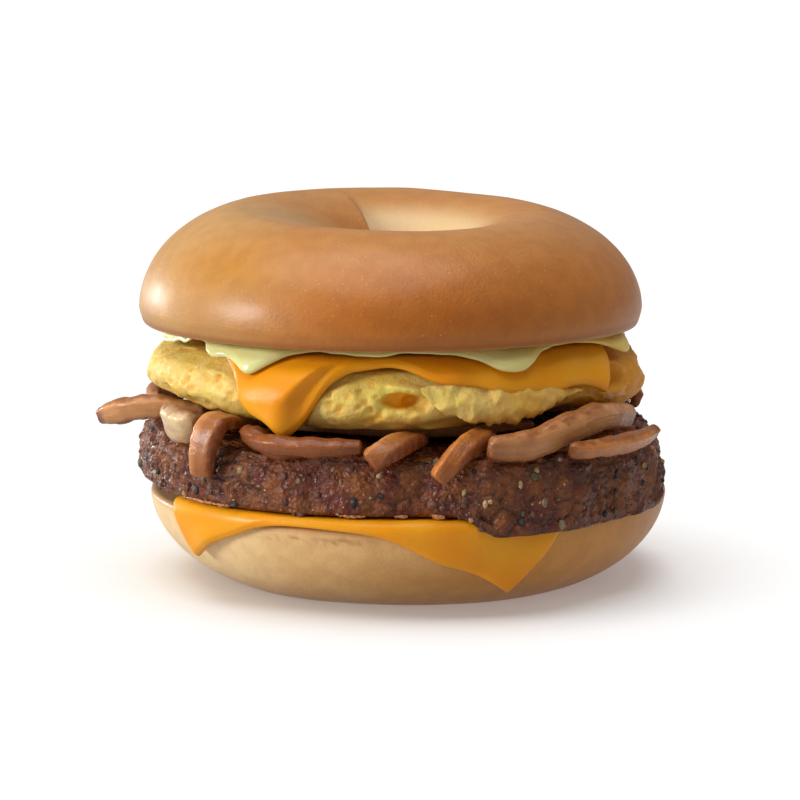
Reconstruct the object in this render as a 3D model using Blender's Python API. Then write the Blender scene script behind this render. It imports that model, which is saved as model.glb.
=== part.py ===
"""A bagel sandwich, from the bottom up: half a bagel, a cheese slice, a peppered steak patty,
fried onion strips, a folded egg, a second cheese slice, sauce and the other half of the bagel."""

import math
import random

import bmesh
import bpy
from mathutils import Vector, noise

# Sizes are in millimetres and angles in degrees. An azimuth runs anticlockwise from +X, seen
# from above, so 180 is the left end, 270 the front and 90 the back. Each piece has its own
# middle on the X axis, because the layers are stacked a little askew. make_object turns the
# sizes into metres.
METRES = 0.001
GAP = 0.3
FRONT, LEFT, RIGHT = 270.0, 180.0, 0.0

# Lower half of the bagel: a rounded wall below a flat cut face, and a flat ring to rest on.
LOWER_X = 5.75
LOWER_REACH = 53.6
LOWER_CUT = 18.2
LOWER_WALL_RADIUS = 18.4
LOWER_WALL_TAPER = 1.45
LOWER_FLATTENED = 0.45
LOWER_HOLE_RADIUS = 10.0
LOWER_HOLE_LIP = 0.6
LOWER_HOLE_STRAIGHT = 8.0
LOWER_WAVE = 0.25
LOWER_AROUND = 44

# Upper half of the bagel: a domed ring over a flat cut face.
UPPER_X = 2.05
UPPER_REACH = 52.0
UPPER_CUT = 53.2
UPPER_WIDEST = 55.4
UPPER_TUBE_RADIUS = 20.4
UPPER_WALL_TAPER = 1.22
UPPER_CREST = 75.6
UPPER_CREST_BACK_RISE = 1.0
UPPER_CREST_LEFT_RISE = 0.7
UPPER_RIM_INSET = 0.8
UPPER_HOLE_RADIUS = 9.0
UPPER_HOLE_LIP = 0.8
UPPER_HOLE_WAIST = 61.0
UPPER_SEAM_AZIMUTH = 111.0
UPPER_SEAM_STEP = 2.6
UPPER_EDGE_DROOP = 1.3
UPPER_DROOP_START = 47.0
UPPER_WAVE = 0.45
UPPER_AROUND = 48

# Cheese slices. A corner is its azimuth and its distance from the middle, measured over the
# bend. A stretch is an azimuth, its width and how far the melted edge has crept out there.
CHEESE_THICKNESS = 1.9
CHEESE_LIFT = GAP
LOWER_CHEESE_CORNERS = ((217.5, 62.7), (293.3, 67.9), (382.0, 57.6), (476.9, 51.3))
LOWER_CHEESE_STRETCHES = ((255.0, 17.0, 2.6), (278.0, 6.0, -1.2), (340.0, 20.0, 1.5))
UPPER_CHEESE_CORNERS = ((245.6, 62.0), (324.5, 54.6), (429.3, 49.9), (514.5, 55.8))
UPPER_CHEESE_STRETCHES = (
    (257.0, 7.0, -4.4),
    (281.0, 9.0, 5.4),
    (297.0, 12.0, 6.8),
    (20.0, 22.0, 3.0),
)
CHEESE_RAY_SPACING = 8.0
LOWER_CHEESE_WALL_RADIUS = 22.0

# Steak patty: it overhangs the rim of the bagel at the front right, where its lip hangs down.
PATTY_X = 4.3
PATTY_REACH = 53.5
PATTY_BOTTOM = 20.75
PATTY_TOP = 32.3
PATTY_LIP_BOTTOM = 17.2
PATTY_CRAGS = 1.3
PATTY_CRAG_LENGTH = 8.5
PATTY_AROUND = 60
PEPPER_GRAINS = 34
PEPPER_SMALLEST = 0.75
PEPPER_LARGEST = 1.25
PEPPER_SUNK = 0.4
PEPPER_SEED = 7

# Folded egg: a soft slab with a rounded shoulder, on which the upper cheese and sauce lie.
EGG_X = 2.85
EGG_REACH = 48.8
EGG_WIDER_AT_SIDES = 1.9
EGG_SHOULDER = 7.0
EGG_TOP = 49.3
EGG_BOTTOM = 36.7
EGG_UNDER_COVER = 0.5
EGG_WAVE = 0.8
EGG_WAVE_LENGTH = 13.0
EGG_AROUND = 56
# Rises of the underside: azimuth, width, rise.
EGG_UNDERSIDE_RISES = ((196.0, 27.0, 2.5), (318.0, 16.0, 3.0), (358.0, 16.0, 1.4), (60.0, 25.0, 1.6))
# Folds and pockets of the side: azimuth, width, height, height of the form, push outwards.
EGG_FORMS = (
    (268.5, 5.0, 43.2, 2.4, -6.5),
    (258.0, 7.0, 41.0, 4.0, 1.4),
    (291.0, 15.0, 41.8, 2.8, 1.7),
    (286.0, 11.0, 37.4, 1.3, -3.2),
    (339.0, 7.0, 43.6, 2.0, -3.2),
    (350.0, 6.0, 40.0, 2.0, 0.2),
    (188.0, 14.0, 44.0, 2.8, 0.5),
    (30.0, 9.0, 42.5, 1.8, -3.6),
    (75.0, 16.0, 41.5, 3.0, 1.5),
    (104.0, 5.0, 43.0, 2.2, -4.2),
    (140.0, 15.0, 41.5, 3.0, 1.4),
)

# Sauce: a thin spread under the upper half, with drips at its rim: azimuth, width, length.
SAUCE_LIFT = 2.75
SAUCE_THICKNESS = 0.9
SAUCE_BEAD = 0.9
SAUCE_LOWEST_LIFT = 0.5
SAUCE_SINK_CLEARANCE = 8.0
SAUCE_SINK_START = 1.2
SAUCE_REACH = 44.0
SAUCE_DRIPS = (
    (188.0, 9.0, 4.4),
    (207.0, 11.0, 2.4),
    (222.0, 8.0, 3.4),
    (237.0, 7.5, 6.2),
    (262.0, 4.0, 0.9),
    (299.0, 9.0, 7.4),
    (337.0, 8.0, 6.0),
    (0.0, 7.0, 1.8),
    (24.0, 12.0, 4.0),
    (66.0, 9.0, 5.4),
    (112.0, 14.0, 3.6),
    (152.0, 9.0, 5.0),
)
SAUCE_RAYS = 46

# Onion strips. Each has the points of its middle line as azimuth, distance from the patty's
# middle and height, its width and thickness, and how its width lies: ACROSS the line and level,
# or upright with a lean outwards in degrees.
ACROSS = None
ONION_SIDES = 8
ONION_STATIONS = 9
ONION_GAP = 0.4
ONIONS = (
    (
        "left_tip",
        ((185.6, 62.4, 33.3), (190.5, 59.0, 35.0), (196.0, 52.6, 36.6), (203.0, 43.0, 35.4)),
        5.3,
        3.2,
        10.0,
    ),
    (
        "left_white",
        ((204.0, 51.6, 35.6), (209.0, 53.4, 35.4), (214.5, 54.0, 35.2), (218.5, 52.4, 35.0)),
        8.0,
        2.6,
        12.0,
    ),
    (
        "left_over",
        (
            (227.0, 43.0, 35.6),
            (227.0, 50.0, 37.4),
            (226.8, 54.8, 37.2),
            (226.4, 57.2, 32.4),
            (226.2, 57.4, 26.8),
        ),
        7.4,
        3.0,
        ACROSS,
    ),
    (
        "front_long",
        ((232.5, 51.4, 35.6), (237.0, 52.4, 34.9), (243.0, 52.6, 33.3), (251.0, 51.0, 33.6)),
        4.8,
        2.8,
        15.0,
    ),
    (
        "front_short",
        ((238.0, 55.6, 35.2), (244.0, 56.2, 34.7), (253.0, 55.8, 34.6), (262.0, 53.8, 34.8)),
        4.1,
        2.6,
        20.0,
    ),
    (
        "front_blunt",
        ((275.0, 43.5, 35.0), (270.5, 50.5, 35.4), (266.5, 54.4, 34.2), (263.5, 56.0, 32.2)),
        6.0,
        3.2,
        ACROSS,
    ),
    (
        "front_hanging",
        (
            (293.0, 43.0, 35.0),
            (289.0, 49.4, 36.0),
            (283.5, 54.0, 34.8),
            (279.6, 57.0, 32.0),
            (276.8, 57.8, 29.0),
        ),
        5.3,
        3.0,
        ACROSS,
    ),
    (
        "right_wave",
        (
            (287.0, 57.4, 34.9),
            (296.0, 56.4, 34.6),
            (307.0, 54.4, 36.5),
            (318.0, 53.6, 37.8),
            (333.0, 52.4, 36.1),
        ),
        6.9,
        3.2,
        12.0,
    ),
    (
        "right_charred",
        ((304.5, 58.2, 33.0), (314.0, 57.8, 32.7), (325.0, 57.4, 32.6), (334.0, 57.4, 33.4)),
        4.3,
        2.6,
        20.0,
    ),
    (
        "right_back",
        ((6.0, 49.6, 35.0), (18.0, 50.4, 35.2), (31.0, 50.4, 34.8)),
        5.4,
        3.0,
        15.0,
    ),
    (
        "back_over",
        ((40.0, 43.0, 35.0), (42.0, 51.0, 35.2), (43.5, 56.2, 32.4), (44.5, 57.0, 27.6)),
        6.3,
        3.0,
        ACROSS,
    ),
    (
        "back_right_long",
        ((50.0, 52.6, 35.0), (62.0, 53.6, 34.6), (75.0, 52.2, 35.0)),
        5.6,
        3.0,
        18.0,
    ),
    (
        "back_blunt",
        ((84.0, 43.0, 35.0), (85.0, 51.5, 35.0), (87.0, 55.6, 32.6), (87.5, 56.4, 29.4)),
        6.0,
        3.2,
        ACROSS,
    ),
    (
        "back_wave",
        ((96.0, 52.6, 34.8), (107.0, 53.2, 35.4), (118.0, 52.4, 34.8), (128.0, 53.0, 35.2)),
        6.0,
        3.0,
        15.0,
    ),
    (
        "back_left_over",
        ((139.0, 43.0, 35.0), (137.5, 51.0, 35.2), (136.0, 56.4, 32.0), (135.0, 57.0, 26.6)),
        6.0,
        2.8,
        ACROSS,
    ),
    (
        "left_back_long",
        ((147.0, 52.0, 35.0), (158.0, 53.0, 34.8), (170.0, 52.4, 35.4), (180.0, 51.0, 35.2)),
        5.6,
        3.0,
        15.0,
    ),
    (
        "inner_front",
        ((215.0, 33.0, 34.5), (247.0, 29.0, 34.5), (285.0, 31.0, 34.5), (320.0, 35.0, 34.5)),
        3.2,
        5.8,
        0.0,
    ),
    (
        "inner_middle",
        ((180.0, 36.0, 34.5), (180.0, 12.0, 34.5), (0.0, 14.0, 34.5), (0.0, 36.0, 34.5)),
        3.2,
        5.6,
        0.0,
    ),
    (
        "inner_back",
        ((150.0, 35.0, 34.5), (112.0, 27.0, 34.5), (70.0, 28.0, 34.5), (30.0, 35.0, 34.5)),
        3.2,
        5.8,
        0.0,
    ),
)


def cosine(degrees):
    return math.cos(math.radians(degrees))


def sine(degrees):
    return math.sin(math.radians(degrees))


def between(start, end, share):
    return start + (end - start) * share


def ramp(value, start, end):
    """0 at start, 1 at end, with a soft turn at both."""
    share = min(max((value - start) / (end - start), 0.0), 1.0)
    return share * share * (3.0 - 2.0 * share)


def bump(value, middle, width):
    return math.exp(-(((value - middle) / width) ** 2))


def turn_between(azimuth, middle):
    """The signed angle from middle to azimuth, the short way round."""
    return (azimuth - middle + 180.0) % 360.0 - 180.0


def bump_at(azimuth, middle, width):
    return bump(turn_between(azimuth, middle), 0.0, width)


def place(middle_x, azimuth, reach, height):
    return Vector((middle_x + reach * cosine(azimuth), reach * sine(azimuth), height))


def wave(point, length, seed):
    """A smooth uneven value from about -1 to 1."""
    return noise.noise(point / length + Vector((seed, 2.0 * seed, -seed)))


def evenly(count):
    return [360.0 * step / count for step in range(count)]


# Meshes


def make_material(name, colour, roughness):
    material = bpy.data.materials.new(name)
    material.use_nodes = True
    shader = material.node_tree.nodes["Principled BSDF"]
    shader.inputs["Base Color"].default_value = (*colour, 1.0)
    shader.inputs["Roughness"].default_value = roughness
    shader.inputs["Metallic"].default_value = 0.0
    material.diffuse_color = (*colour, 1.0)
    return material


def make_object(name, surface, material):
    """Makes one object, in metres, of a bmesh in millimetres."""
    bmesh.ops.scale(surface, verts=surface.verts, vec=(METRES, METRES, METRES))
    bmesh.ops.recalc_face_normals(surface, faces=surface.faces)
    mesh = bpy.data.meshes.new(name)
    surface.to_mesh(mesh)
    surface.free()
    mesh.materials.append(material)
    mesh.shade_smooth()
    mesh.set_sharp_from_angle(angle=math.radians(50.0))
    piece = bpy.data.objects.new(name, mesh)
    bpy.context.scene.collection.objects.link(piece)
    return piece


def join_rings(rings, loop=False, ends=None):
    """A closed surface through rings of points, each ring with as many points as the others.

    Either the last ring meets the first, or ends holds the two points that close the surface.
    """
    surface = bmesh.new()
    rows = [[surface.verts.new(point) for point in ring] for ring in rings]
    count = len(rows[0])
    pairs = list(zip(rows, rows[1:]))
    if loop:
        pairs.append((rows[-1], rows[0]))
    for inner, outer in pairs:
        for step in range(count):
            following = (step + 1) % count
            surface.faces.new((inner[step], inner[following], outer[following], outer[step]))
    if ends:
        for row, point in zip((rows[0], rows[-1]), ends):
            tip = surface.verts.new(point)
            for step in range(count):
                surface.faces.new((row[step], row[(step + 1) % count], tip))
    return surface


def trim(piece, surface):
    """Cuts a neighbour's closed surface, in millimetres, out of a piece."""
    cutter = make_object("cutter", surface, piece.data.materials[0])
    cut = piece.modifiers.new("trim", "BOOLEAN")
    cut.operation = "DIFFERENCE"
    cut.object = cutter
    cut.solver = "EXACT"
    graph = bpy.context.evaluated_depsgraph_get()
    trimmed = bpy.data.meshes.new_from_object(piece.evaluated_get(graph), depsgraph=graph)
    piece.modifiers.remove(cut)
    trimmed.name = piece.data.name
    piece.data = trimmed
    bpy.data.objects.remove(cutter)


# The two halves of the bagel


def lower_section():
    """Reach and height of points round the section of the lower half, from its rim."""
    tube_middle = LOWER_REACH - LOWER_WALL_RADIUS
    drop = LOWER_CUT + LOWER_FLATTENED
    points = [(LOWER_REACH, LOWER_CUT)]
    for angle in (12, 26, 40, 54, 68, 80, 90):
        reach = tube_middle + LOWER_WALL_RADIUS * max(cosine(angle), 0.0) ** LOWER_WALL_TAPER
        points.append((reach, LOWER_CUT - drop * sine(angle)))
    inner_radius = tube_middle - LOWER_HOLE_RADIUS
    for angle in (90, 80, 62, 40, 18, 0):
        reach = tube_middle - LOWER_FLATTENED - inner_radius * cosine(angle)
        height = LOWER_CUT - between(LOWER_HOLE_STRAIGHT, drop, sine(angle))
        points.append((reach, height))
    points.append((LOWER_HOLE_RADIUS + LOWER_HOLE_LIP, LOWER_CUT))
    points.append((between(LOWER_HOLE_RADIUS, LOWER_REACH, 0.5), LOWER_CUT))
    return points


def lower_half_surface(swell=0.0):
    """The lower half, or a shell that stands so far off it."""
    rings = []
    for azimuth in evenly(LOWER_AROUND):
        ring = []
        for reach, height in lower_section():
            point = place(LOWER_X, azimuth, reach, height)
            outward = swell if reach > LOWER_HOLE_RADIUS + 1.0 else 0.0
            if height < LOWER_CUT:
                uneven = LOWER_WAVE * wave(point, 22.0, 3.0)
                point = place(LOWER_X, azimuth, reach + uneven + outward, max(height + uneven, 0.0))
            else:
                point = place(LOWER_X, azimuth, reach + outward, height + swell)
            ring.append(point)
        rings.append(ring)
    return join_rings(rings, loop=True)


def make_lower_half(material):
    return make_object("bagel_lower", lower_half_surface(), material)


def upper_cut_height(azimuth, reach):
    """Height of the cut face, whose rim droops a little at both ends."""
    droop = bump_at(azimuth, RIGHT, 38.0) + 0.5 * bump_at(azimuth, LEFT, 30.0)
    return UPPER_CUT - UPPER_EDGE_DROOP * droop * ramp(reach, UPPER_DROOP_START, UPPER_REACH)


def upper_section(azimuth):
    """Reach and height of points round the section of the upper half, from its rim."""
    tube_middle = UPPER_REACH - UPPER_TUBE_RADIUS
    crest = UPPER_CREST + UPPER_CREST_BACK_RISE * sine(azimuth) - UPPER_CREST_LEFT_RISE * cosine(azimuth)
    rim_height = upper_cut_height(azimuth, UPPER_REACH)
    points = [(UPPER_REACH - UPPER_RIM_INSET, rim_height)]
    for angle in (6, 18, 30, 42, 54, 66, 78, 90):
        reach = tube_middle + UPPER_TUBE_RADIUS * max(cosine(angle), 0.0) ** UPPER_WALL_TAPER
        points.append((reach, UPPER_WIDEST + (crest - UPPER_WIDEST) * sine(angle)))
    seam = turn_between(azimuth, UPPER_SEAM_AZIMUTH)
    overlap = UPPER_SEAM_STEP * ramp(seam, -2.0, 5.0) * ramp(seam, 110.0, 40.0)
    waist = UPPER_HOLE_RADIUS - overlap * 0.4
    for angle in (77, 62, 46, 30, 14, 0):
        reach = tube_middle - (tube_middle - waist) * cosine(angle)
        reach -= overlap * cosine(angle) * sine(angle)
        points.append((reach, UPPER_HOLE_WAIST + (crest - UPPER_HOLE_WAIST) * sine(angle)))
    points.append((UPPER_HOLE_RADIUS + UPPER_HOLE_LIP, upper_cut_height(azimuth, 0.0)))
    points.append((UPPER_DROOP_START, upper_cut_height(azimuth, UPPER_DROOP_START)))
    return points


def make_upper_half(material):
    rings = []
    for azimuth in evenly(UPPER_AROUND):
        ring = []
        for reach, height in upper_section(azimuth):
            point = place(UPPER_X, azimuth, reach, height)
            if height > UPPER_WIDEST:
                uneven = UPPER_WAVE * wave(point, 24.0, 11.0) * ramp(height, UPPER_WIDEST, 60.0)
                point = place(UPPER_X, azimuth, reach + uneven, height + uneven)
            ring.append(point)
        rings.append(ring)
    return make_object("bagel_upper", join_rings(rings, loop=True), material)


# Sheets that lie flat and hang over a rim: the cheese slices and the sauce


class Rim:
    """What a sheet hangs over: a flat top, a rounded shoulder and a wall below it."""

    def __init__(self, middle_x, top, shoulder, wall_radius, reach_at):
        self.middle_x = middle_x
        self.top = top
        self.shoulder = shoulder
        self.wall_radius = wall_radius
        self.reach_at = reach_at
        self.bend_radius = shoulder + CHEESE_LIFT + CHEESE_THICKNESS / 2
        self.bend_length = self.bend_radius * math.pi / 2

    def flat_reach(self, azimuth):
        return self.reach_at(azimuth) - self.shoulder

    def section(self, azimuth, along, lift):
        """Reach and height of a point so far along the sheet and so high above the rim's surface."""
        flat = self.flat_reach(azimuth)
        if along <= flat:
            return along, self.top + lift
        middle_height = self.top - self.shoulder
        if along <= flat + self.bend_length:
            angle = (along - flat) / self.bend_radius
            radius = self.shoulder + lift
            return flat + radius * math.sin(angle), middle_height + radius * math.cos(angle)
        wall_middle = flat + self.shoulder - self.wall_radius
        angle = (along - flat - self.bend_length) / (self.wall_radius + lift)
        radius = self.wall_radius + lift
        return wall_middle + radius * math.cos(angle), middle_height - radius * math.sin(angle)

    def hang(self, azimuth, reach, lift, corner=None, corner_width=1.0):
        """Places a point of the flat sheet. A corner hangs as a flat flap, not a gathered one."""
        flat = self.flat_reach(azimuth)
        along = reach
        if corner is not None and reach > flat:
            turn = turn_between(azimuth, corner)
            aside = reach * sine(turn)
            beyond = reach * cosine(turn) - math.sqrt(max(flat * flat - aside * aside, 1.0))
            flap_turn = math.degrees(math.asin(min(max(aside / flat, -1.0), 1.0)))
            share = math.cos(min(abs(turn) / corner_width, 1.0) * math.pi / 2) ** 2
            along = between(reach, flat + beyond, share)
            azimuth = azimuth + between(0.0, flap_turn - turn, share)
        across, height = self.section(azimuth, along, lift)
        return place(self.middle_x, azimuth, across, height)


def lower_rim_reach(azimuth):
    return LOWER_REACH


def egg_reach(azimuth):
    return EGG_REACH + EGG_WIDER_AT_SIDES * cosine(azimuth) ** 2


BAGEL_RIM = Rim(LOWER_X, LOWER_CUT, 0.0, LOWER_CHEESE_WALL_RADIUS, lower_rim_reach)
EGG_RIM = Rim(EGG_X, EGG_TOP, EGG_SHOULDER, 400.0, egg_reach)


def slice_reach(azimuth, corners, stretches):
    """Distance of the slice's edge from the middle at this azimuth, measured over the bend."""
    nearest = None
    for index, (start, start_reach) in enumerate(corners):
        end, end_reach = corners[(index + 1) % len(corners)]
        width = (end - start) % 360.0
        turn = (azimuth - start) % 360.0
        if turn <= width:
            ax, ay = start_reach, 0.0
            bx, by = end_reach * cosine(width), end_reach * sine(width)
            cross = (bx - ax) * sine(turn) - (by - ay) * cosine(turn)
            nearest = (ay * (bx - ax) - ax * (by - ay)) / cross
            fade = math.sin(math.pi * turn / width)
            break
    stretch = sum(amount * bump_at(azimuth, middle, spread) for middle, spread, amount in stretches)
    return nearest + stretch * min(1.0, 2.0 * fade)


def slice_azimuths(rim, corners, stretches):
    """Azimuths with one at each corner and wherever the edge crosses the rim, the rest between."""
    first = corners[0][0]
    fixed = [azimuth for azimuth, _ in corners]
    steps = [first + 0.5 * step for step in range(721)]
    beyond = [slice_reach(azimuth, corners, stretches) > rim.flat_reach(azimuth) for azimuth in steps]
    fixed += [at for at, here, following in zip(steps, beyond, beyond[1:]) if here != following]
    fixed = sorted(set(fixed))
    found = []
    for start, end in zip(fixed, fixed[1:] + [first + 360.0]):
        count = max(1, math.ceil((end - start) / CHEESE_RAY_SPACING))
        found += [between(start, end, step / count) for step in range(count)]
    return found


def nearest_corner(azimuth, corners):
    """The azimuth of the nearest corner, and the angle from there to the middle of that side."""
    distances = sorted((abs(turn_between(azimuth, corner)), corner) for corner, _ in corners)
    half_way = (distances[0][0] + distances[1][0]) / 2
    return distances[0][1] % 360.0, half_way


def sheet_stations(rim, azimuth, reach):
    """Distances from the middle at which a sheet has rings of points, closer at its bend."""
    flat = rim.flat_reach(azimuth)
    bends = 3 if rim.shoulder else 2
    wanted = [flat - 0.4]
    wanted += [flat + rim.bend_length * step / bends for step in range(1, bends + 1)]
    wanted.append(between(flat + rim.bend_length, max(reach, flat + rim.bend_length + 2.0), 0.55))
    wanted.append(1e6)
    spacing = 0.55
    last = len(wanted) - 1
    return [min(along, reach - spacing * (1 + last - step)) for step, along in enumerate(wanted)]


def make_sheet(name, rim, azimuths, reach_at, bottom_at, thickness_at, corners, material):
    """A sheet with its underside bottom_at above the rim's surface, rounded along its edge."""

    def top_at(azimuth, along):
        return bottom_at(azimuth, along) + thickness_at(azimuth, along)

    columns = []
    for azimuth in azimuths:
        reach = reach_at(azimuth)
        corner, half_way = (None, 1.0) if corners is None else nearest_corner(azimuth, corners)
        stations = sheet_stations(rim, azimuth, reach)
        below = [rim.hang(azimuth, s, bottom_at(azimuth, s), corner, half_way) for s in stations]
        edge_lift = between(bottom_at(azimuth, reach), top_at(azimuth, reach), 0.4)
        edge = rim.hang(azimuth, reach, edge_lift, corner, half_way)
        above = [rim.hang(azimuth, s, top_at(azimuth, s), corner, half_way) for s in stations]
        columns.append(below + [edge] + above[::-1])
    rings = [list(ring) for ring in zip(*columns)]
    ends = tuple(Vector((rim.middle_x, 0.0, rim.top + lift(0.0, 0.0))) for lift in (bottom_at, top_at))
    return make_object(name, join_rings(rings, ends=ends), material)


def make_cheese(name, rim, corners, stretches, material):
    return make_sheet(
        name,
        rim,
        slice_azimuths(rim, corners, stretches),
        lambda azimuth: slice_reach(azimuth, corners, stretches),
        lambda azimuth, along: CHEESE_LIFT,
        lambda azimuth, along: CHEESE_THICKNESS,
        corners,
        material,
    )


def sauce_reach(azimuth):
    edge = SAUCE_REACH + EGG_WIDER_AT_SIDES * cosine(azimuth) ** 2
    for middle, width, length in SAUCE_DRIPS:
        edge += length * bump_at(azimuth, middle, width)
    return edge + 0.5 * wave(place(0.0, azimuth, 40.0, 0.0), 9.0, 5.0)


def sauce_bottom(azimuth, along):
    """The sauce lies on the cheese, and past the slice's edge it sinks onto the egg's shoulder."""
    near = [azimuth + SAUCE_SINK_CLEARANCE * step for step in (-1.0, -0.5, 0.0, 0.5, 1.0)]
    edge = max(slice_reach(at, UPPER_CHEESE_CORNERS, UPPER_CHEESE_STRETCHES) for at in near)
    start = max(edge + SAUCE_SINK_START, EGG_RIM.flat_reach(azimuth))
    return between(SAUCE_LIFT, SAUCE_LOWEST_LIFT, ramp(along, start, start + 4.0))


def sauce_thickness(azimuth, along):
    """Thin under the bagel, and thicker in the drips that hang over the shoulder."""
    flat = EGG_RIM.flat_reach(azimuth)
    drip = min(max(sauce_reach(azimuth) - flat - 3.0, 0.0) / 4.0, 1.0)
    return SAUCE_THICKNESS + SAUCE_BEAD * drip * ramp(along, flat, flat + 4.0)


def make_sauce(material):
    return make_sheet(
        "sauce", EGG_RIM, evenly(SAUCE_RAYS), sauce_reach, sauce_bottom, sauce_thickness, None, material
    )


# Steak patty


def patty_lip(azimuth):
    """How far the rim hangs down over the bagel, from 0 to 1."""
    turn = (azimuth - FRONT) % 360.0
    return ramp(turn, 10.0, 20.0) * ramp(turn, 82.0, 68.0)


def patty_reach(azimuth):
    turn = (azimuth - FRONT) % 360.0
    over_cheese = ramp(turn, 4.0, 13.0) * ramp(turn, 46.0, 36.0)
    over_bagel = patty_lip(azimuth)
    widening = 0.8 * bump_at(azimuth, 235.0, 25.0) + 0.6 * bump_at(azimuth, LEFT, 35.0)
    return PATTY_REACH + 2.7 * over_bagel + 1.9 * over_cheese + widening


def patty_section(azimuth):
    """Reach and height of points from under the patty, round its side, to its top."""
    lip = patty_lip(azimuth)
    reach = patty_reach(azimuth)
    tight = ((-8.0, 0.0), (-3.4, 0.0), (-1.6, 0.05), (-0.7, 0.4), (-0.2, 1.2))
    drop = PATTY_LIP_BOTTOM - PATTY_BOTTOM
    hanging = ((-8.0, 0.0), (-4.5, 0.1), (-2.5, -0.2), (-1.4, -1.7), (-0.6, drop))
    points = []
    for (tight_in, tight_up), (hung_in, hung_up) in zip(tight, hanging):
        rise = between(tight_up, hung_up, lip)
        points.append((reach + between(tight_in, hung_in, lip), PATTY_BOTTOM + rise))
    low_side = between(PATTY_BOTTOM + 3.2, PATTY_LIP_BOTTOM + 2.6, lip)
    points += [
        (reach, low_side),
        (reach + 0.3, between(low_side, 29.0, 0.5)),
        (reach - 0.5, 29.0),
        (reach - 2.2, 31.2),
        (reach - 5.4, PATTY_TOP),
        (reach * 0.55, PATTY_TOP),
    ]
    return points


def patty_crag(point):
    coarse = wave(point, PATTY_CRAG_LENGTH, 17.0)
    fine = wave(point, PATTY_CRAG_LENGTH / 2.4, 23.0)
    return PATTY_CRAGS * (coarse + 0.5 * fine)


def patty_point(azimuth, reach, height, station):
    """A point of the patty with its crags. Those below the rim stay clear of what carries it."""
    point = place(PATTY_X, azimuth, reach, height)
    crag = patty_crag(point)
    if station < 4:
        return point
    if height > PATTY_TOP - 0.5:
        return point + Vector((0.0, 0.0, 0.4 * crag))
    outward = max(crag, -0.2) if station < 6 else crag
    return place(PATTY_X, azimuth, reach + outward, height)


def patty_top_at(azimuth, reach):
    """Height of the patty's upper side at a distance from its middle."""
    edge = patty_reach(azimuth)
    shoulder = ((edge - 5.4, PATTY_TOP), (edge - 2.2, 31.2), (edge - 0.5, 29.0), (edge + 0.3, 26.0))
    if reach <= shoulder[0][0]:
        return PATTY_TOP
    for (inner, high), (outer, low) in zip(shoulder, shoulder[1:]):
        if reach <= outer:
            return between(high, low, (reach - inner) / (outer - inner))
    return 0.0


def patty_side_at(azimuth, height):
    """Distance of the patty's side from its middle at a height."""
    edge = patty_reach(azimuth)
    if height > 31.2:
        return between(edge - 2.2, edge - 5.4, (height - 31.2) / (PATTY_TOP - 31.2))
    if height > 29.0:
        return between(edge - 0.5, edge - 2.2, (height - 29.0) / 2.2)
    return edge + 0.3


def make_grain(collection, place_at, size, draw):
    """One cracked grain of pepper: a lump of twenty faces, longer one way than the others."""
    surface = bmesh.new()
    bmesh.ops.create_icosphere(surface, subdivisions=1, radius=1.0)
    stretch = Vector((draw.uniform(0.8, 1.3), draw.uniform(0.7, 1.1), draw.uniform(0.7, 1.2))) * size
    for vertex in surface.verts:
        uneven = draw.uniform(0.85, 1.1)
        vertex.co = Vector((vertex.co.x * stretch.x, vertex.co.y * stretch.y, vertex.co.z * stretch.z))
        vertex.co = (vertex.co * uneven + place_at) * METRES
    mesh = bpy.data.meshes.new("grain")
    surface.to_mesh(mesh)
    surface.free()
    grain = bpy.data.objects.new("grain", mesh)
    collection.objects.link(grain)


def fuse_collection(piece, collection):
    """Joins every object of the collection to the piece, and removes the collection."""
    union = piece.modifiers.new("fuse", "BOOLEAN")
    union.operation = "UNION"
    union.operand_type = "COLLECTION"
    union.collection = collection
    union.solver = "EXACT"
    graph = bpy.context.evaluated_depsgraph_get()
    fused = bpy.data.meshes.new_from_object(piece.evaluated_get(graph), depsgraph=graph)
    piece.modifiers.remove(union)
    fused.name = piece.data.name
    piece.data = fused
    for helper in list(collection.objects):
        bpy.data.objects.remove(helper)
    bpy.data.collections.remove(collection)


def make_patty(material):
    columns = []
    for azimuth in evenly(PATTY_AROUND):
        section = patty_section(azimuth)
        columns.append([patty_point(azimuth, *at, station) for station, at in enumerate(section)])
    rings = [list(ring) for ring in zip(*columns)]
    ends = (Vector((PATTY_X, 0.0, PATTY_BOTTOM)), Vector((PATTY_X, 0.0, PATTY_TOP)))
    patty = make_object("steak_patty", join_rings(rings, ends=ends), material)
    pepper = bpy.data.collections.new("pepper")
    bpy.context.scene.collection.children.link(pepper)
    draw = random.Random(PEPPER_SEED)
    for step in range(PEPPER_GRAINS):
        azimuth = (137.508 * step) % 360.0
        height = 22.8 + 7.0 * ((0.382 * step) % 1.0)
        size = draw.uniform(PEPPER_SMALLEST, PEPPER_LARGEST)
        reach = patty_side_at(azimuth, height)
        reach += patty_crag(place(PATTY_X, azimuth, reach, height)) - PEPPER_SUNK
        make_grain(pepper, place(PATTY_X, azimuth, reach, height), size, draw)
    fuse_collection(patty, pepper)
    return patty


# Folded egg


def egg_underside(azimuth, reach):
    """Height of the lowest point of the egg's rim, which the onions lift here and there."""
    rise = sum(amount * bump_at(azimuth, middle, width) for middle, width, amount in EGG_UNDERSIDE_RISES)
    return EGG_BOTTOM + rise * ramp(reach, 30.0, 42.0)


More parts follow.
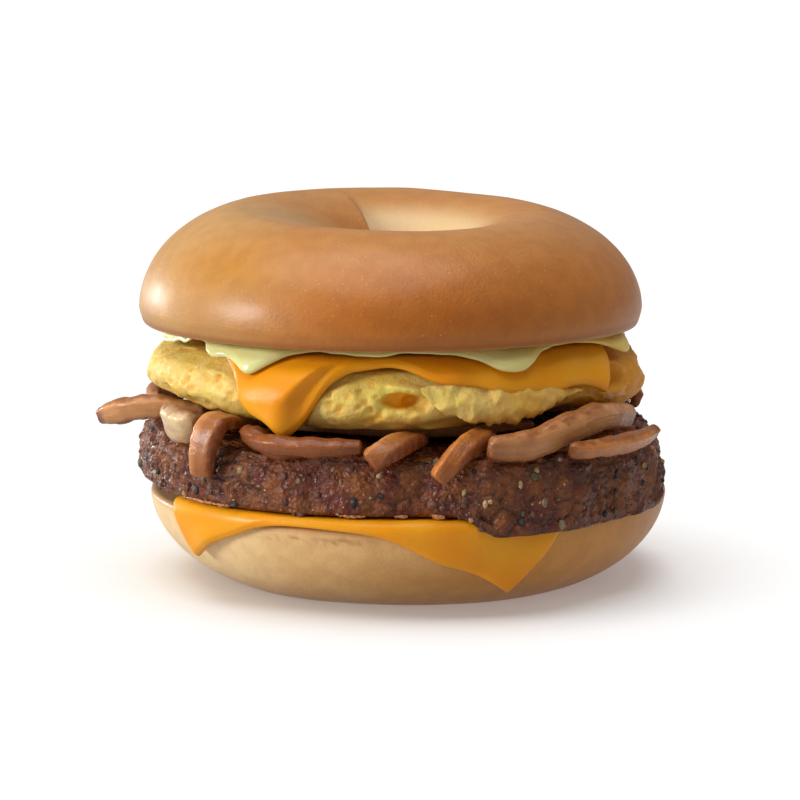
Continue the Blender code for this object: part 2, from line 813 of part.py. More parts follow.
def egg_side(azimuth, angle):
    """Reach and height on the rounded side, from -90 under it to 90 on its top."""
    shoulder_reach = egg_reach(azimuth) - EGG_SHOULDER
    middle = EGG_TOP - EGG_SHOULDER
    depth = EGG_SHOULDER if angle > 0 else middle - egg_underside(azimuth, egg_reach(azimuth))
    reach = shoulder_reach + EGG_SHOULDER * cosine(angle)
    height = middle + depth * sine(angle)
    for at, width, form_height, tall, push in EGG_FORMS:
        reach += push * bump_at(azimuth, at, width) * bump(height, form_height, tall)
    return reach, height


def egg_point(azimuth, angle):
    reach, height = egg_side(azimuth, angle)
    point = place(EGG_X, azimuth, reach, height)
    uneven = EGG_WAVE * wave(point, EGG_WAVE_LENGTH, 29.0) * cosine(angle)
    cheese_edge = slice_reach(azimuth, UPPER_CHEESE_CORNERS, UPPER_CHEESE_STRETCHES)
    cheese_low = EGG_RIM.section(azimuth, cheese_edge, 0.0)[1]
    covered = ramp(height, cheese_low - 3.0, cheese_low - 1.0)
    limit = egg_reach(azimuth) - EGG_SHOULDER + EGG_SHOULDER * cosine(angle) - EGG_UNDER_COVER
    reach = between(reach + uneven, min(reach + uneven, limit), covered)
    if angle > 0:
        height -= EGG_UNDER_COVER * sine(angle)
    return place(EGG_X, azimuth, reach, height)


def make_egg(material):
    columns = []
    for azimuth in evenly(EGG_AROUND):
        inner = egg_reach(azimuth) - EGG_SHOULDER
        column = []
        for reach in (0.6 * inner, 0.85 * inner):
            column.append(place(EGG_X, azimuth, reach, egg_underside(azimuth, reach)))
        column += [egg_point(azimuth, angle) for angle in (-90, -64, -44, -26, -10, 6, 24, 44, 66, 90)]
        column.append(place(EGG_X, azimuth, 0.6 * inner, EGG_TOP - EGG_UNDER_COVER))
        columns.append(column)
    rings = [list(ring) for ring in zip(*columns)]
    ends = (Vector((EGG_X, 0.0, EGG_BOTTOM)), Vector((EGG_X, 0.0, EGG_TOP - EGG_UNDER_COVER)))
    return make_object("egg", join_rings(rings, ends=ends), material)


# Onion strips


def on_curve(points, share):
    """A point on a smooth curve through the given points, share running from 0 to 1."""
    spans = len(points) - 1
    span = min(int(share * spans), spans - 1)
    at = share * spans - span
    before = points[max(span - 1, 0)]
    after = points[min(span + 2, spans)]
    start, end = points[span], points[span + 1]
    return 0.5 * (
        2.0 * start
        + (end - before) * at
        + (2.0 * before - 5.0 * start + 4.0 * end - after) * at**2
        + (3.0 * start - before - 3.0 * end + after) * at**3
    )


def seen_from(middle_x, point):
    """Azimuth, reach and height of a point about a piece's own middle."""
    across, deep = point.x - middle_x, point.y
    return math.degrees(math.atan2(deep, across)) % 360.0, math.hypot(across, deep), point.z


def clear_of_egg(point):
    """Moves a point down or out until it is clear of the egg's underside."""
    azimuth, reach, height = seen_from(EGG_X, point)
    shoulder_reach = egg_reach(azimuth) - EGG_SHOULDER
    if reach > shoulder_reach + EGG_SHOULDER + 1.5 or height > 46.0:
        return point
    under = egg_underside(azimuth, reach)
    if reach > shoulder_reach:
        share = min((reach - shoulder_reach) / (EGG_SHOULDER + 1.5), 1.0)
        under += (EGG_TOP - EGG_SHOULDER - under) * (1.0 - math.sqrt(1.0 - share * share))
    return Vector((point.x, point.y, min(height, under - ONION_GAP)))


def clear_of_patty(point):
    """Moves a point up or out, whichever is nearer, until it is clear of the patty."""
    azimuth, reach, height = seen_from(PATTY_X, point)
    gap = ONION_GAP + 0.5 * PATTY_CRAGS
    top = patty_top_at(azimuth, reach) + gap
    side = patty_side_at(azimuth, height) + gap + 0.3
    if height >= top or reach >= side:
        return point
    if top - height < side - reach:
        return Vector((point.x, point.y, top))
    return place(PATTY_X, azimuth, side, height)


def make_onion(name, route, width, thickness, lean, material):
    points = [place(PATTY_X, *at) for at in route]
    up = Vector((0.0, 0.0, 1.0))
    rings = []
    for station in range(ONION_STATIONS):
        share = station / (ONION_STATIONS - 1)
        middle = on_curve(points, share)
        ahead, behind = on_curve(points, min(share + 0.02, 1.0)), on_curve(points, max(share - 0.02, 0.0))
        along = (ahead - behind).normalized()
        outward = Vector((middle.x - PATTY_X, middle.y, 0.0)).normalized()
        if lean is ACROSS:
            broad = up.cross(outward)
        else:
            broad = up * cosine(lean) + outward * sine(lean)
        broad = (broad - along * broad.dot(along)).normalized()
        thin = along.cross(broad)
        taper = 0.45 + 0.55 * math.sin(math.pi * min(max(share, 0.06), 0.94)) ** 0.4
        ring = []
        for side in range(ONION_SIDES):
            angle = 360.0 * (side + 0.5) / ONION_SIDES
            offset = broad * (cosine(angle) * width / 2) + thin * (sine(angle) * thickness / 2)
            ring.append(clear_of_patty(clear_of_egg(middle + offset * taper)))
        rings.append(ring)
    ends = tuple(sum(ring, Vector()) / ONION_SIDES for ring in (rings[0], rings[-1]))
    return make_object("onion_" + name, join_rings(rings, ends=ends), material)


def main():
    for thing in list(bpy.data.objects):
        bpy.data.objects.remove(thing)
    crust = make_material("crust", (0.60, 0.33, 0.14), 0.45)
    cheese = make_material("cheese", (0.80, 0.40, 0.04), 0.40)
    meat = make_material("meat", (0.10, 0.035, 0.02), 0.55)
    onion = make_material("onion", (0.42, 0.22, 0.09), 0.35)
    egg = make_material("egg", (0.80, 0.62, 0.20), 0.50)
    sauce = make_material("sauce", (0.82, 0.82, 0.48), 0.30)
    make_lower_half(crust)
    lower_cheese = make_cheese(
        "cheese_lower", BAGEL_RIM, LOWER_CHEESE_CORNERS, LOWER_CHEESE_STRETCHES, cheese
    )
    trim(lower_cheese, lower_half_surface(swell=GAP * 0.8))
    make_patty(meat)
    for name, route, width, thickness, lean in ONIONS:
        make_onion(name, route, width, thickness, lean, onion)
    make_egg(egg)
    make_cheese("cheese_upper", EGG_RIM, UPPER_CHEESE_CORNERS, UPPER_CHEESE_STRETCHES, cheese)
    make_sauce(sauce)
    make_upper_half(crust)


main()
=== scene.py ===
"""The looks of a bagel sandwich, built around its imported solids: two halves of a bagel, two
cheese slices, a peppered steak patty, fried onion strips, a folded egg and sauce."""

import math
import random

import bmesh
import bpy
import numpy as np
from bpy.props import FloatProperty, FloatVectorProperty, IntProperty, PointerProperty
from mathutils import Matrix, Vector, noise


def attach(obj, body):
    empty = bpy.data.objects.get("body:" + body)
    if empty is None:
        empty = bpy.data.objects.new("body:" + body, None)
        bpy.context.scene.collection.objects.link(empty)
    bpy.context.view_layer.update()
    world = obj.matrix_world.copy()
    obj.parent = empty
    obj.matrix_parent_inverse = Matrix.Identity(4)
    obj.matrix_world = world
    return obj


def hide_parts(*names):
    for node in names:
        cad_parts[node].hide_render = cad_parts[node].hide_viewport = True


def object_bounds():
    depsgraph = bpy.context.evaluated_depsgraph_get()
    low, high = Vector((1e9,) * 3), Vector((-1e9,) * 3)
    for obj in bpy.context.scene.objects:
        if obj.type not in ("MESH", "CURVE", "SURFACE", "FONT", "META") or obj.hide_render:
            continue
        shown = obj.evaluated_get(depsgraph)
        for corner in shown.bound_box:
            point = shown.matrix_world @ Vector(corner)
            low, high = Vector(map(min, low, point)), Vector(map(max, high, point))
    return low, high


bl_info = {
    "name": "Bagel Sandwich",
    "version": (1, 0, 0),
    "blender": (4, 5, 0),
    "location": "3D View > Sidebar > Sandwich",
    "description": "Builds the detailed pieces of a bagel sandwich around its solids",
    "category": "Object",
}

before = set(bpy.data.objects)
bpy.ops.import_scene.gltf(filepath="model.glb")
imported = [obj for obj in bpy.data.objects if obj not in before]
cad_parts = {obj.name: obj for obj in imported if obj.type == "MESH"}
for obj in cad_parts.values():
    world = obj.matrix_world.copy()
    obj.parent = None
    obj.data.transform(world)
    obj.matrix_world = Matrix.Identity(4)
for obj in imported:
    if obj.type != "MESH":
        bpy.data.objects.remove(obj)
CAD_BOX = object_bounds()

# Sizes are in millimetres and angles in degrees unless a name says otherwise. An azimuth runs
# anticlockwise from +X, seen from above, so 180 is the left end, 270 the front and 90 the back.
METRES = 0.001
MILLIMETRES = 1000.0
FRONT, LEFT, RIGHT = 270.0, 180.0, 0.0
WHITE = (1.0, 1.0, 1.0)
BODY = "root"

LOWER_X = 5.75
LOWER_REACH = 53.6
LOWER_CUT = 18.2
LOWER_WALL_RADIUS = 18.4
LOWER_WALL_TAPER = 1.45
LOWER_FLATTENED = 0.45
LOWER_HOLE_RADIUS = 10.0
LOWER_HOLE_LIP = 0.6
LOWER_HOLE_STRAIGHT = 8.0
LOWER_STEPS_ALONG = 170

UPPER_X = 2.05
UPPER_REACH = 52.0
UPPER_CUT = 53.2
UPPER_WIDEST = 55.4
UPPER_TUBE_RADIUS = 20.4
UPPER_WALL_TAPER = 1.22
UPPER_CREST = 75.6
UPPER_CREST_BACK_RISE = 1.0
UPPER_CREST_LEFT_RISE = 0.7
UPPER_RIM_INSET = 0.8
UPPER_HOLE_RADIUS = 9.0
UPPER_HOLE_LIP = 0.8
UPPER_HOLE_WAIST = 61.0
UPPER_HOLE_BLEND = 4.0
UPPER_SEAM_AZIMUTH = 111.0
UPPER_SEAM_STEP = 2.6
UPPER_EDGE_DROOP = 1.3
UPPER_DROOP_START = 47.0
UPPER_STEPS_ALONG = 190

# What the crust's material reads at each point, all from 0 to 1. The pale share is partly
# paler baking and partly painted sheen on the lit left side and top; the deep share is partly
# toasting and partly painted shade on the right.
CRUST_SHARES = ("pale", "deep", "golden", "crumb", "toast")

CHEESE_LIFT = 0.3
CHEESE_THICKNESS = 1.9
# The corners of each slice as azimuth and reach, and the stretches where its edge moves out
# as azimuth, width and how far.
LOWER_CHEESE_CORNERS = ((217.0, 65.0), (292.4, 70.0), (382.0, 57.6), (476.9, 51.3))
LOWER_CHEESE_STRETCHES = (
    (209.0, 5.0, -4.0),
    (229.0, 7.0, 0.7),
    (255.0, 17.0, 2.2),
    (277.5, 10.5, 2.2),
    (305.0, 8.0, -3.6),
    (340.0, 20.0, 1.5),
)
UPPER_CHEESE_CORNERS = ((245.6, 62.0), (324.5, 56.2), (429.3, 49.9), (514.5, 55.8))
UPPER_CHEESE_STRETCHES = (
    (239.0, 4.0, 5.0),
    (251.5, 4.5, -5.0),
    (257.0, 7.0, -4.4),
    (268.0, 7.5, -3.2),
    (281.0, 9.0, 3.4),
    (297.0, 12.0, 6.4),
    (313.0, 9.0, 3.3),
    (20.0, 22.0, 3.0),
)
# The fold that runs up from the front corner of the upper slice: height and azimuth.
UPPER_CHEESE_RIDGE = (
    (37.0, 244.6), (42.5, 245.2), (45.6, 247.6), (49.2, 251.2), (50.4, 254.0), (51.6, 260.0),
)
LOWER_CHEESE_WALL_RADIUS = 22.0
CHEESE_RAY_SPACING = 1.25
SHEET_STEPS_FLAT, SHEET_STEPS_HUNG = 12, 40
SHEET_EDGE = 1.2

PATTY_X = 4.3
PATTY_REACH = 53.5
PATTY_BOTTOM = 20.75
PATTY_TOP = 32.3
# The shoulder as distances in from the rim and heights, and the bulge of the side below it.
PATTY_SHOULDER = ((0.5, 29.0), (2.2, 31.2), (5.4, PATTY_TOP))
PATTY_BULGE, PATTY_BULGE_HEIGHT = 0.3, 26.0
PATTY_LIP_BOTTOM = 17.2
PATTY_CRAGS = 1.3
PATTY_CRAG_LENGTH = 8.5
PATTY_STEPS_AROUND, PATTY_STEPS_ALONG = 560, 140
# Set juice under the patty's rim: azimuths of both ends, and height of the bead.
JUICE_BEADS = ((217.0, 231.0, 0.5), (257.0, 262.5, 0.6), (268.5, 271.5, 0.8), (276.5, 279.0, 1.0))

EGG_X = 2.85
EGG_REACH = 48.8
EGG_WIDER_AT_SIDES = 1.9
EGG_SHOULDER = 7.0
EGG_TOP = 49.3
EGG_BOTTOM = 36.7
EGG_UNDER_COVER = 0.5
# So wide a radius that the cheese and sauce hang nearly straight down the egg.
EGG_WALL_RADIUS = 400.0
EGG_STEPS_AROUND, EGG_STEPS_ALONG = 560, 100
# Where the onions lift the egg's underside: azimuth, width and how far.
EGG_UNDERSIDE_RISES = (
    (196.0, 27.0, 2.5), (316.0, 14.0, 2.8), (358.0, 15.0, -1.4), (60.0, 25.0, 1.6),
)
# Random pores in the egg's side: lowest and highest place, radius and depth.
PORE_HEIGHTS, PORE_RADII, PORE_DEPTHS = (37.5, 48.5), (0.35, 0.95), (0.25, 0.7)
# Push outwards, times the square of the steepness, at which a pocket has its full painted shade.
EGG_FULL_HOLLOW = 190.0
# Lobes, folds and pockets of the egg's side: azimuth, width, height of the middle, its own
# height, push outwards and how steep its border is.
EGG_FORMS = (
    (271.6, 4.4, 43.2, 1.7, -2.3, 9),
    (275.5, 3.4, 42.8, 1.7, -1.7, 6),
    (265.4, 1.6, 43.8, 3.4, 0.8, 2),
    (257.0, 7.0, 42.4, 4.6, 1.5, 4),
    (274.0, 5.0, 46.6, 1.5, 1.6, 4),
    (271.5, 7.0, 39.7, 1.7, 1.0, 4),
    (247.0, 5.0, 39.0, 2.0, 0.8, 2),
    (296.0, 17.0, 42.2, 3.0, -0.9, 4),
    (293.0, 14.0, 38.0, 1.5, -3.4, 4),
    (281.0, 6.0, 36.4, 1.1, 0.9, 4),
    (328.0, 11.0, 40.3, 1.7, 0.6, 2),
    (331.0, 6.4, 44.7, 2.3, -3.8, 4),
    (346.0, 6.0, 45.8, 2.6, 0.6, 2),
    (358.0, 13.0, 40.4, 2.4, 1.1, 2),
    (4.0, 12.0, 44.4, 0.9, -0.5, 2),
    (188.0, 14.0, 44.0, 2.8, 0.5, 2),
    (203.0, 4.0, 41.0, 1.2, -0.8, 4),
    (202.0, 20.0, 46.6, 2.8, 0.5, 2),
    (212.0, 6.0, 43.0, 1.8, 0.6, 2),
    (200.0, 3.8, 48.9, 0.5, -2.4, 4),
    (219.0, 3.0, 40.2, 1.0, -0.6, 4),
    (226.0, 6.0, 43.5, 2.2, 0.4, 2),
    (30.0, 9.0, 42.5, 1.8, -3.6, 4),
    (46.0, 7.0, 41.0, 2.6, 0.9, 2),
    (75.0, 16.0, 41.5, 3.0, 1.3, 2),
    (66.0, 4.0, 43.5, 1.2, -1.2, 4),
    (104.0, 5.0, 43.0, 2.2, -4.2, 4),
    (121.0, 6.0, 40.6, 1.4, -1.4, 4),
    (140.0, 15.0, 41.5, 3.0, 1.2, 2),
    (160.0, 4.0, 42.0, 1.6, -1.5, 4),
)
# The loose flap of egg at the front: azimuth and height of its upper and lower edges.
EGG_FLAP_UPPER = (
    (275.6, 45.9), (278.0, 47.2), (284.8, 47.2), (289.5, 46.4), (300.0, 45.6), (311.0, 45.4),
    (318.5, 43.6),
)
EGG_FLAP_LOWER = (
    (275.6, 44.9), (278.3, 41.9), (280.0, 40.0), (283.4, 39.7), (287.7, 38.1), (289.6, 38.8),
    (292.4, 38.0), (298.0, 38.2), (305.4, 39.5), (311.8, 41.7), (318.5, 43.0),
)
EGG_FLAP_THICKNESS = 1.75
EGG_FLAP_STEPS_ALONG, EGG_FLAP_STEPS_AROUND = 110, 34

SAUCE_LIFT = 2.75
SAUCE_THICKNESS = 0.9
SAUCE_BEAD = 0.9
SAUCE_LOWEST_LIFT = 0.5
SAUCE_SINK_CLEARANCE = 8.0
SAUCE_SINK_START = 1.2
SAUCE_REACH = 44.0
# The drips of sauce: azimuth, width and length.
SAUCE_DRIPS = (
    (187.0, 8.0, 2.2),
    (223.0, 6.0, 3.6),
    (235.8, 7.4, 6.0),
    (264.0, 6.0, 1.4),
    (298.0, 10.2, 5.6),
    (336.0, 8.0, 4.8),
    (0.0, 7.0, 1.8),
    (24.0, 12.0, 4.0),
    (66.0, 9.0, 5.4),
    (112.0, 14.0, 3.6),
    (152.0, 9.0, 5.0),
)

# Onion strips: the points of the middle line as azimuth, distance from the patty's middle and
# height, then width, thickness, lean of the width, browning of the start and of the end, and
# how pale the strip is, or below 0 how much painted shade darkens it all over, for strips
# that lie in shade. ACROSS lays the width level across the line.
ACROSS = None
ONION_GAP = 0.4
ONION_STATIONS = 111
ONION_BLUNT_END = 0.06
ONION_SQUARENESS = 0.58
ONIONS = (
    ("left_tip",
     ((185.6, 62.4, 33.3), (190.5, 59.0, 35.0), (196.0, 52.6, 36.6), (203.0, 43.0, 35.4)),
     5.3, 3.2, 10.0, 0.9, 0.3, 0.3),
    ("left_white",
     ((204.0, 51.6, 35.6), (209.0, 53.4, 35.4), (214.5, 54.0, 35.2), (218.5, 52.4, 35.0)),
     8.0, 2.6, 12.0, 0.0, 0.4, 1.0),
    ("left_over",
     ((227.0, 43.0, 35.6), (227.0, 50.0, 37.4), (226.8, 54.8, 37.2), (226.4, 57.2, 32.4),
      (226.2, 57.4, 26.8)),
     7.4, 3.0, ACROSS, 0.2, 0.25, 0.15),
    ("front_long",
     ((232.5, 51.4, 35.6), (237.0, 52.4, 34.9), (243.0, 52.6, 33.3), (251.0, 51.0, 33.6)),
     4.8, 2.8, 15.0, 0.4, 0.5, -0.75),
    ("front_short",
     ((238.0, 55.6, 35.2), (244.0, 56.2, 34.7), (253.0, 55.8, 34.6), (262.0, 53.8, 34.8)),
     4.1, 2.6, 20.0, 0.1, 0.6, -0.75),
    ("front_blunt",
     ((275.0, 43.5, 35.0), (270.5, 50.5, 35.4), (266.5, 54.4, 34.2), (263.5, 56.0, 32.2)),
     6.0, 3.2, ACROSS, 0.5, 0.3, 0.1),
    ("front_hanging",
     ((293.0, 43.0, 35.0), (289.0, 49.4, 36.0), (283.5, 54.0, 34.8), (279.6, 57.0, 32.0),
      (276.8, 57.8, 29.0)),
     5.3, 3.0, ACROSS, 0.6, 0.15, 0.0),
    ("right_wave",
     ((287.0, 57.4, 34.9), (296.0, 56.4, 34.6), (307.0, 54.4, 36.5), (318.0, 53.6, 37.8),
      (333.0, 52.4, 36.1)),
     6.9, 3.2, 12.0, 0.5, 0.2, 0.2),
    ("right_charred",
     ((304.5, 58.2, 33.0), (314.0, 57.8, 32.7), (325.0, 57.4, 32.6), (334.0, 57.4, 33.4)),
     4.3, 2.6, 20.0, 0.5, 1.0, 0.05),
    ("right_back",
     ((6.0, 49.6, 35.0), (20.0, 50.4, 35.2), (37.0, 49.8, 34.8)),
     5.4, 3.0, 15.0, 0.4, 0.3, -0.4),
    ("back_over",
     ((40.0, 43.0, 35.0), (42.0, 51.0, 35.2), (43.5, 56.2, 32.4), (44.5, 57.0, 27.6)),
     6.3, 3.0, ACROSS, 0.1, 0.4, 0.4),
    ("back_right_long",
     ((50.0, 52.6, 35.0), (62.0, 53.6, 34.6), (75.0, 52.2, 35.0)),
     5.6, 3.0, 18.0, 0.3, 0.5, 0.2),
    ("back_blunt",
     ((84.0, 43.0, 35.0), (85.0, 51.5, 35.0), (87.0, 55.6, 32.6), (87.5, 56.4, 29.4)),
     6.0, 3.2, ACROSS, 0.1, 0.3, 0.6),
    ("back_wave",
     ((96.0, 52.6, 34.8), (107.0, 53.2, 35.4), (118.0, 52.4, 34.8), (128.0, 53.0, 35.2)),
     6.0, 3.0, 15.0, 0.5, 0.3, 0.1),
    ("back_left_over",
     ((139.0, 43.0, 35.0), (137.5, 51.0, 35.2), (136.0, 56.4, 32.0), (135.0, 57.0, 26.6)),
     6.0, 2.8, ACROSS, 0.1, 0.6, 0.3),
    ("left_back_long",
     ((142.5, 51.0, 35.0), (158.0, 53.0, 34.8), (170.0, 52.4, 35.4), (180.0, 51.0, 35.2)),
     5.6, 3.0, 15.0, 0.4, 0.3, 0.4),
    ("inner_front",
     ((215.0, 33.0, 34.5), (247.0, 29.0, 34.5), (285.0, 31.0, 34.5), (320.0, 35.0, 34.5)),
     3.2, 5.8, 0.0, 0.2, 0.2, 0.3),
    ("inner_middle",
     ((180.0, 36.0, 34.5), (180.0, 12.0, 34.5), (0.0, 14.0, 34.5), (0.0, 36.0, 34.5)),
     3.2, 5.6, 0.0, 0.2, 0.2, 0.3),
    ("inner_back",
     ((150.0, 35.0, 34.5), (112.0, 27.0, 34.5), (70.0, 28.0, 34.5), (30.0, 35.0, 34.5)),
     3.2, 5.8, 0.0, 0.2, 0.2, 0.3),
)

# The stage, in metres, with the azimuth, elevation and softness of each light.
FLOOR_RADIUS, FLOOR_SEGMENTS = 6.0, 96
TOP_LIGHT = (195.0, 82.0, 56.0)
KEY_LIGHT = (197.0, 18.0, 20.0)
RIM_LIGHT = (134.0, 3.0, 14.0)
CAMERA_PLACE = (0.00405, -0.826, 0.168)
CAMERA_AIM = (0.00405, 0.0, 0.0357)
CAMERA_LENS, CAMERA_SENSOR = 181.0, 36.0


def cosine(degrees):
    return math.cos(math.radians(degrees))


def sine(degrees):
    return math.sin(math.radians(degrees))


def between(start, end, share):
    return start + (end - start) * share


def ramp(value, start, end):
    """0 at start, 1 at end, with a soft turn at both."""
    share = min(max((value - start) / (end - start), 0.0), 1.0)
    return share * share * (3.0 - 2.0 * share)


def bump(value, middle, width, steep=2):
    return math.exp(-(abs((value - middle) / width) ** steep))


def turn_between(azimuth, middle):
    """The signed angle from middle to azimuth, the short way round."""
    return (azimuth - middle + 180.0) % 360.0 - 180.0


def bump_at(azimuth, middle, width, steep=2):
    return bump(turn_between(azimuth, middle), 0.0, width, steep)


def place(middle_x, azimuth, reach, height):
    return Vector((middle_x + reach * cosine(azimuth), reach * sine(azimuth), height))


def seen_from(middle_x, point):
    """Azimuth, reach and height of a point about a piece's own middle."""
    across, deep = point[0] - middle_x, point[1]
    return math.degrees(math.atan2(deep, across)) % 360.0, math.hypot(across, deep), point[2]


def wave(point, length, seed):
    """A smooth uneven value from about -1 to 1."""
    return noise.noise(Vector(point) / length + Vector((seed, 2.0 * seed, -seed)))


def cells(point, length, seed):
    """0 in the middle of each rounded lump and 1 on the borders between lumps."""
    near, far = noise.voronoi(Vector(point) / length + Vector((seed, seed, seed)))[0][:2]
    return 1.0 - min((far - near) * 1.6, 1.0)


def evenly(count):
    return [360.0 * step / count for step in range(count)]


def on_curve(points, share):
    """A point on a smooth curve through the given points, share running from 0 to 1."""
    spans = len(points) - 1
    span = min(int(share * spans), spans - 1)
    at = share * spans - span
    before = points[max(span - 1, 0)]
    after = points[min(span + 2, spans)]
    start, end = points[span], points[span + 1]
    return 0.5 * (
        2.0 * start
        + (end - before) * at
        + (2.0 * before - 5.0 * start + 4.0 * end - after) * at**2
        + (3.0 * start - before - 3.0 * end + after) * at**3
    )


def value_on(line, at):
    """The value at a place on a line of places and values."""
    return float(np.interp(at, [start for start, _ in line], [value for _, value in line]))


# Meshes


def mesh_of_rings(name, rings, ends):
    """A closed mesh, in millimetres, through rings of equally many points to both end points."""
    count = len(rings[0])
    points = [tuple(point) for ring in rings for point in ring]
    faces = []
    for row in range(len(rings) - 1):
        start, following = row * count, (row + 1) * count
        for step in range(count):
            other = (step + 1) % count
            faces.append((start + step, start + other, following + other, following + step))
    for row, point in zip((0, len(rings) - 1), ends):
        points.append(tuple(point))
        tip = len(points) - 1
        for step in range(count):
            faces.append((row * count + step, row * count + (step + 1) % count, tip))
    mesh = bpy.data.meshes.new(name)
    mesh.from_pydata(points, [], faces)
    return mesh


def ends_at(middle_x, low, high):
    """The points in the middle of a piece that close it below and above."""
    return [Vector((middle_x, 0.0, height)) for height in (low, high)]


def in_ring_order(values, columns):
    """Values gathered column by column, in the order of the mesh's points, with 0 at its ends."""
    return np.append(np.array(values).reshape(columns, -1).T.ravel(), (0.0, 0.0))


def face_outwards(mesh):
    surface = bmesh.new()
    surface.from_mesh(mesh)
    bmesh.ops.recalc_face_normals(surface, faces=surface.faces)
    surface.to_mesh(mesh)
    surface.free()


def points_of(mesh):
    found = np.zeros(len(mesh.vertices) * 3)
    mesh.vertices.foreach_get("co", found)
    return found.reshape(-1, 3)


def joined(name, meshes):
    """One mesh made of several."""
    surface = bmesh.new()
    for mesh in meshes:
        surface.from_mesh(mesh)
    result = bpy.data.meshes.new(name)
    surface.to_mesh(result)
    surface.free()
    return result


def move_points(mesh, points):
    mesh.vertices.foreach_set("co", np.asarray(points, dtype=float).ravel())
    mesh.update()


def paint(mesh, name, values):
    """Stores one number for each vertex, for a material to read."""
    layer = mesh.attributes.new(name, "FLOAT", "POINT")
    layer.data.foreach_set("value", np.clip(np.asarray(values, dtype=float), 0.0, 1.0))


def finish_piece(name, mesh, material, nodes=()):
    """Turns a mesh in millimetres into a riding piece in metres, kept in the solids' box."""
    move_points(mesh, np.clip(points_of(mesh) * METRES, *CAD_BOX))
    face_outwards(mesh)
    mesh.materials.clear()
    mesh.materials.append(material)
    mesh.shade_smooth()
    mesh.name = name
    piece = bpy.data.objects.new(name, mesh)
    bpy.context.scene.collection.objects.link(piece)
    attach(piece, BODY)
    if nodes:
        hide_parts(*nodes)
    return piece


# Node trees


def put(tree, socket, value):
    """Links a socket or sets a plain value."""
    if isinstance(value, bpy.types.NodeSocket):
        tree.links.new(value, socket)
    else:
        socket.default_value = value


def set_inputs(tree, node, **inputs):
    """Links or sets a node's inputs. A name has underscores for its spaces."""
    for name, value in inputs.items():
        put(tree, node.inputs[name.replace("_", " ")], value)


def add_node(tree, kind, settings=None, **inputs):
    made = tree.nodes.new(kind)
    for name, value in (settings or {}).items():
        setattr(made, name, value)
    set_inputs(tree, made, **inputs)
    return made


def combine(tree, operation, first, second=0.0):
    """The result of a Math node."""
    made = tree.nodes.new("ShaderNodeMath")
    made.operation = operation
    put(tree, made.inputs[0], first)
    put(tree, made.inputs[1], second)
    return made.outputs[0]


def plus(tree, first, second):
    return combine(tree, "ADD", first, second)


def times(tree, first, second):
    return combine(tree, "MULTIPLY", first, second)


def combine_vectors(tree, operation, first, second):
    made = tree.nodes.new("ShaderNodeVectorMath")
    made.operation = operation
    put(tree, made.inputs[0], first)
    put(tree, made.inputs["Scale"] if operation == "SCALE" else made.inputs[1], second)
    return made.outputs[0]


def mix_colours(tree, share, first, second, blend="MIX"):
    made = tree.nodes.new("ShaderNodeMix")
    made.data_type = "RGBA"
    made.blend_type = blend
    put(tree, made.inputs[0], share)
    put(tree, made.inputs[6], first)
    put(tree, made.inputs[7], second)
    return made.outputs[2]


def rescale(tree, value, low, high, new_low=0.0, new_high=1.0):
    made = tree.nodes.new("ShaderNodeMapRange")
    made.interpolation_type = "SMOOTHSTEP"
    for index, item in enumerate((value, low, high, new_low, new_high)):
        put(tree, made.inputs[index], item)
    return made.outputs[0]


def socket_type(given):
    """The type of a group's socket, from its default value or from the name of its kind."""
    if isinstance(given, str):
        return "NodeSocket" + given
    if isinstance(given, tuple):
        return "NodeSocketVector" if len(given) == 3 else "NodeSocketColor"
    return "NodeSocketInt" if isinstance(given, int) else "NodeSocketFloat"


def new_tree(name, kind, inputs, outputs):
    """A node group. Each named input has its default, or its kind where it has none."""
    tree = bpy.data.node_groups.new(name, kind)
    for label, given in inputs.items():
        socket = tree.interface.new_socket(label, in_out="INPUT", socket_type=socket_type(given))
        if not isinstance(given, str):
            socket.default_value = given
    for label, made in outputs.items():
        tree.interface.new_socket(label, in_out="OUTPUT", socket_type=socket_type(made))
    entry, result = tree.nodes.new("NodeGroupInput"), tree.nodes.new("NodeGroupOutput")
    return tree, entry.outputs, result.inputs


def new_geometry_tree(name, inputs):
    """A tree that takes a geometry first and its material last, and gives a geometry."""
    inputs = {"Geometry": "Geometry", **inputs, "Material": "Material"}
    return new_tree(name, "GeometryNodeTree", inputs, {"Geometry": "Geometry"})


def finish_geometry(tree, outputs, geometry, material):
    """Every geometry tree ends the same way: real faces, shaded smooth, with its material."""
    real = add_node(tree, "GeometryNodeRealizeInstances", Geometry=geometry)
    smooth = add_node(tree, "GeometryNodeSetShadeSmooth", Geometry=real.outputs[0]).outputs[0]
    dressed = add_node(tree, "GeometryNodeSetMaterial", Geometry=smooth, Material=material)
    put(tree, outputs["Geometry"], dressed.outputs[0])


def run_tree(tree, mesh, **values):
    """Runs a geometry tree on a mesh and returns the result as a plain mesh."""
    host = bpy.data.objects.new("host", mesh)
    bpy.context.scene.collection.objects.link(host)
    modifier = host.modifiers.new("shape", "NODES")
    modifier.node_group = tree
    inputs = [item for item in tree.interface.items_tree if item.in_out == "INPUT"]
    identifiers = {item.name: item.identifier for item in inputs}
    for name, value in values.items():
        modifier[identifiers[name.replace("_", " ")]] = value
    graph = bpy.context.evaluated_depsgraph_get()
    made = bpy.data.meshes.new_from_object(host.evaluated_get(graph), depsgraph=graph)
    host.modifiers.remove(modifier)
    bpy.data.objects.remove(host)
    return made


def uneven_offset(tree, position, size, amount, seed):
    """A push along the surface's normal, up to amount each way."""
    pattern = add_node(
        tree, "ShaderNodeTexNoise", {"noise_dimensions": "4D"}, Vector=position, W=seed,
        Scale=combine(tree, "DIVIDE", 1.0, size), Detail=2.0,
    )
    centred = combine(tree, "SUBTRACT", pattern.outputs[0], 0.5)
    push = times(tree, centred, times(tree, amount, 2.0))
    normal = tree.nodes.new("GeometryNodeInputNormal").outputs[0]
    return combine_vectors(tree, "SCALE", normal, push)


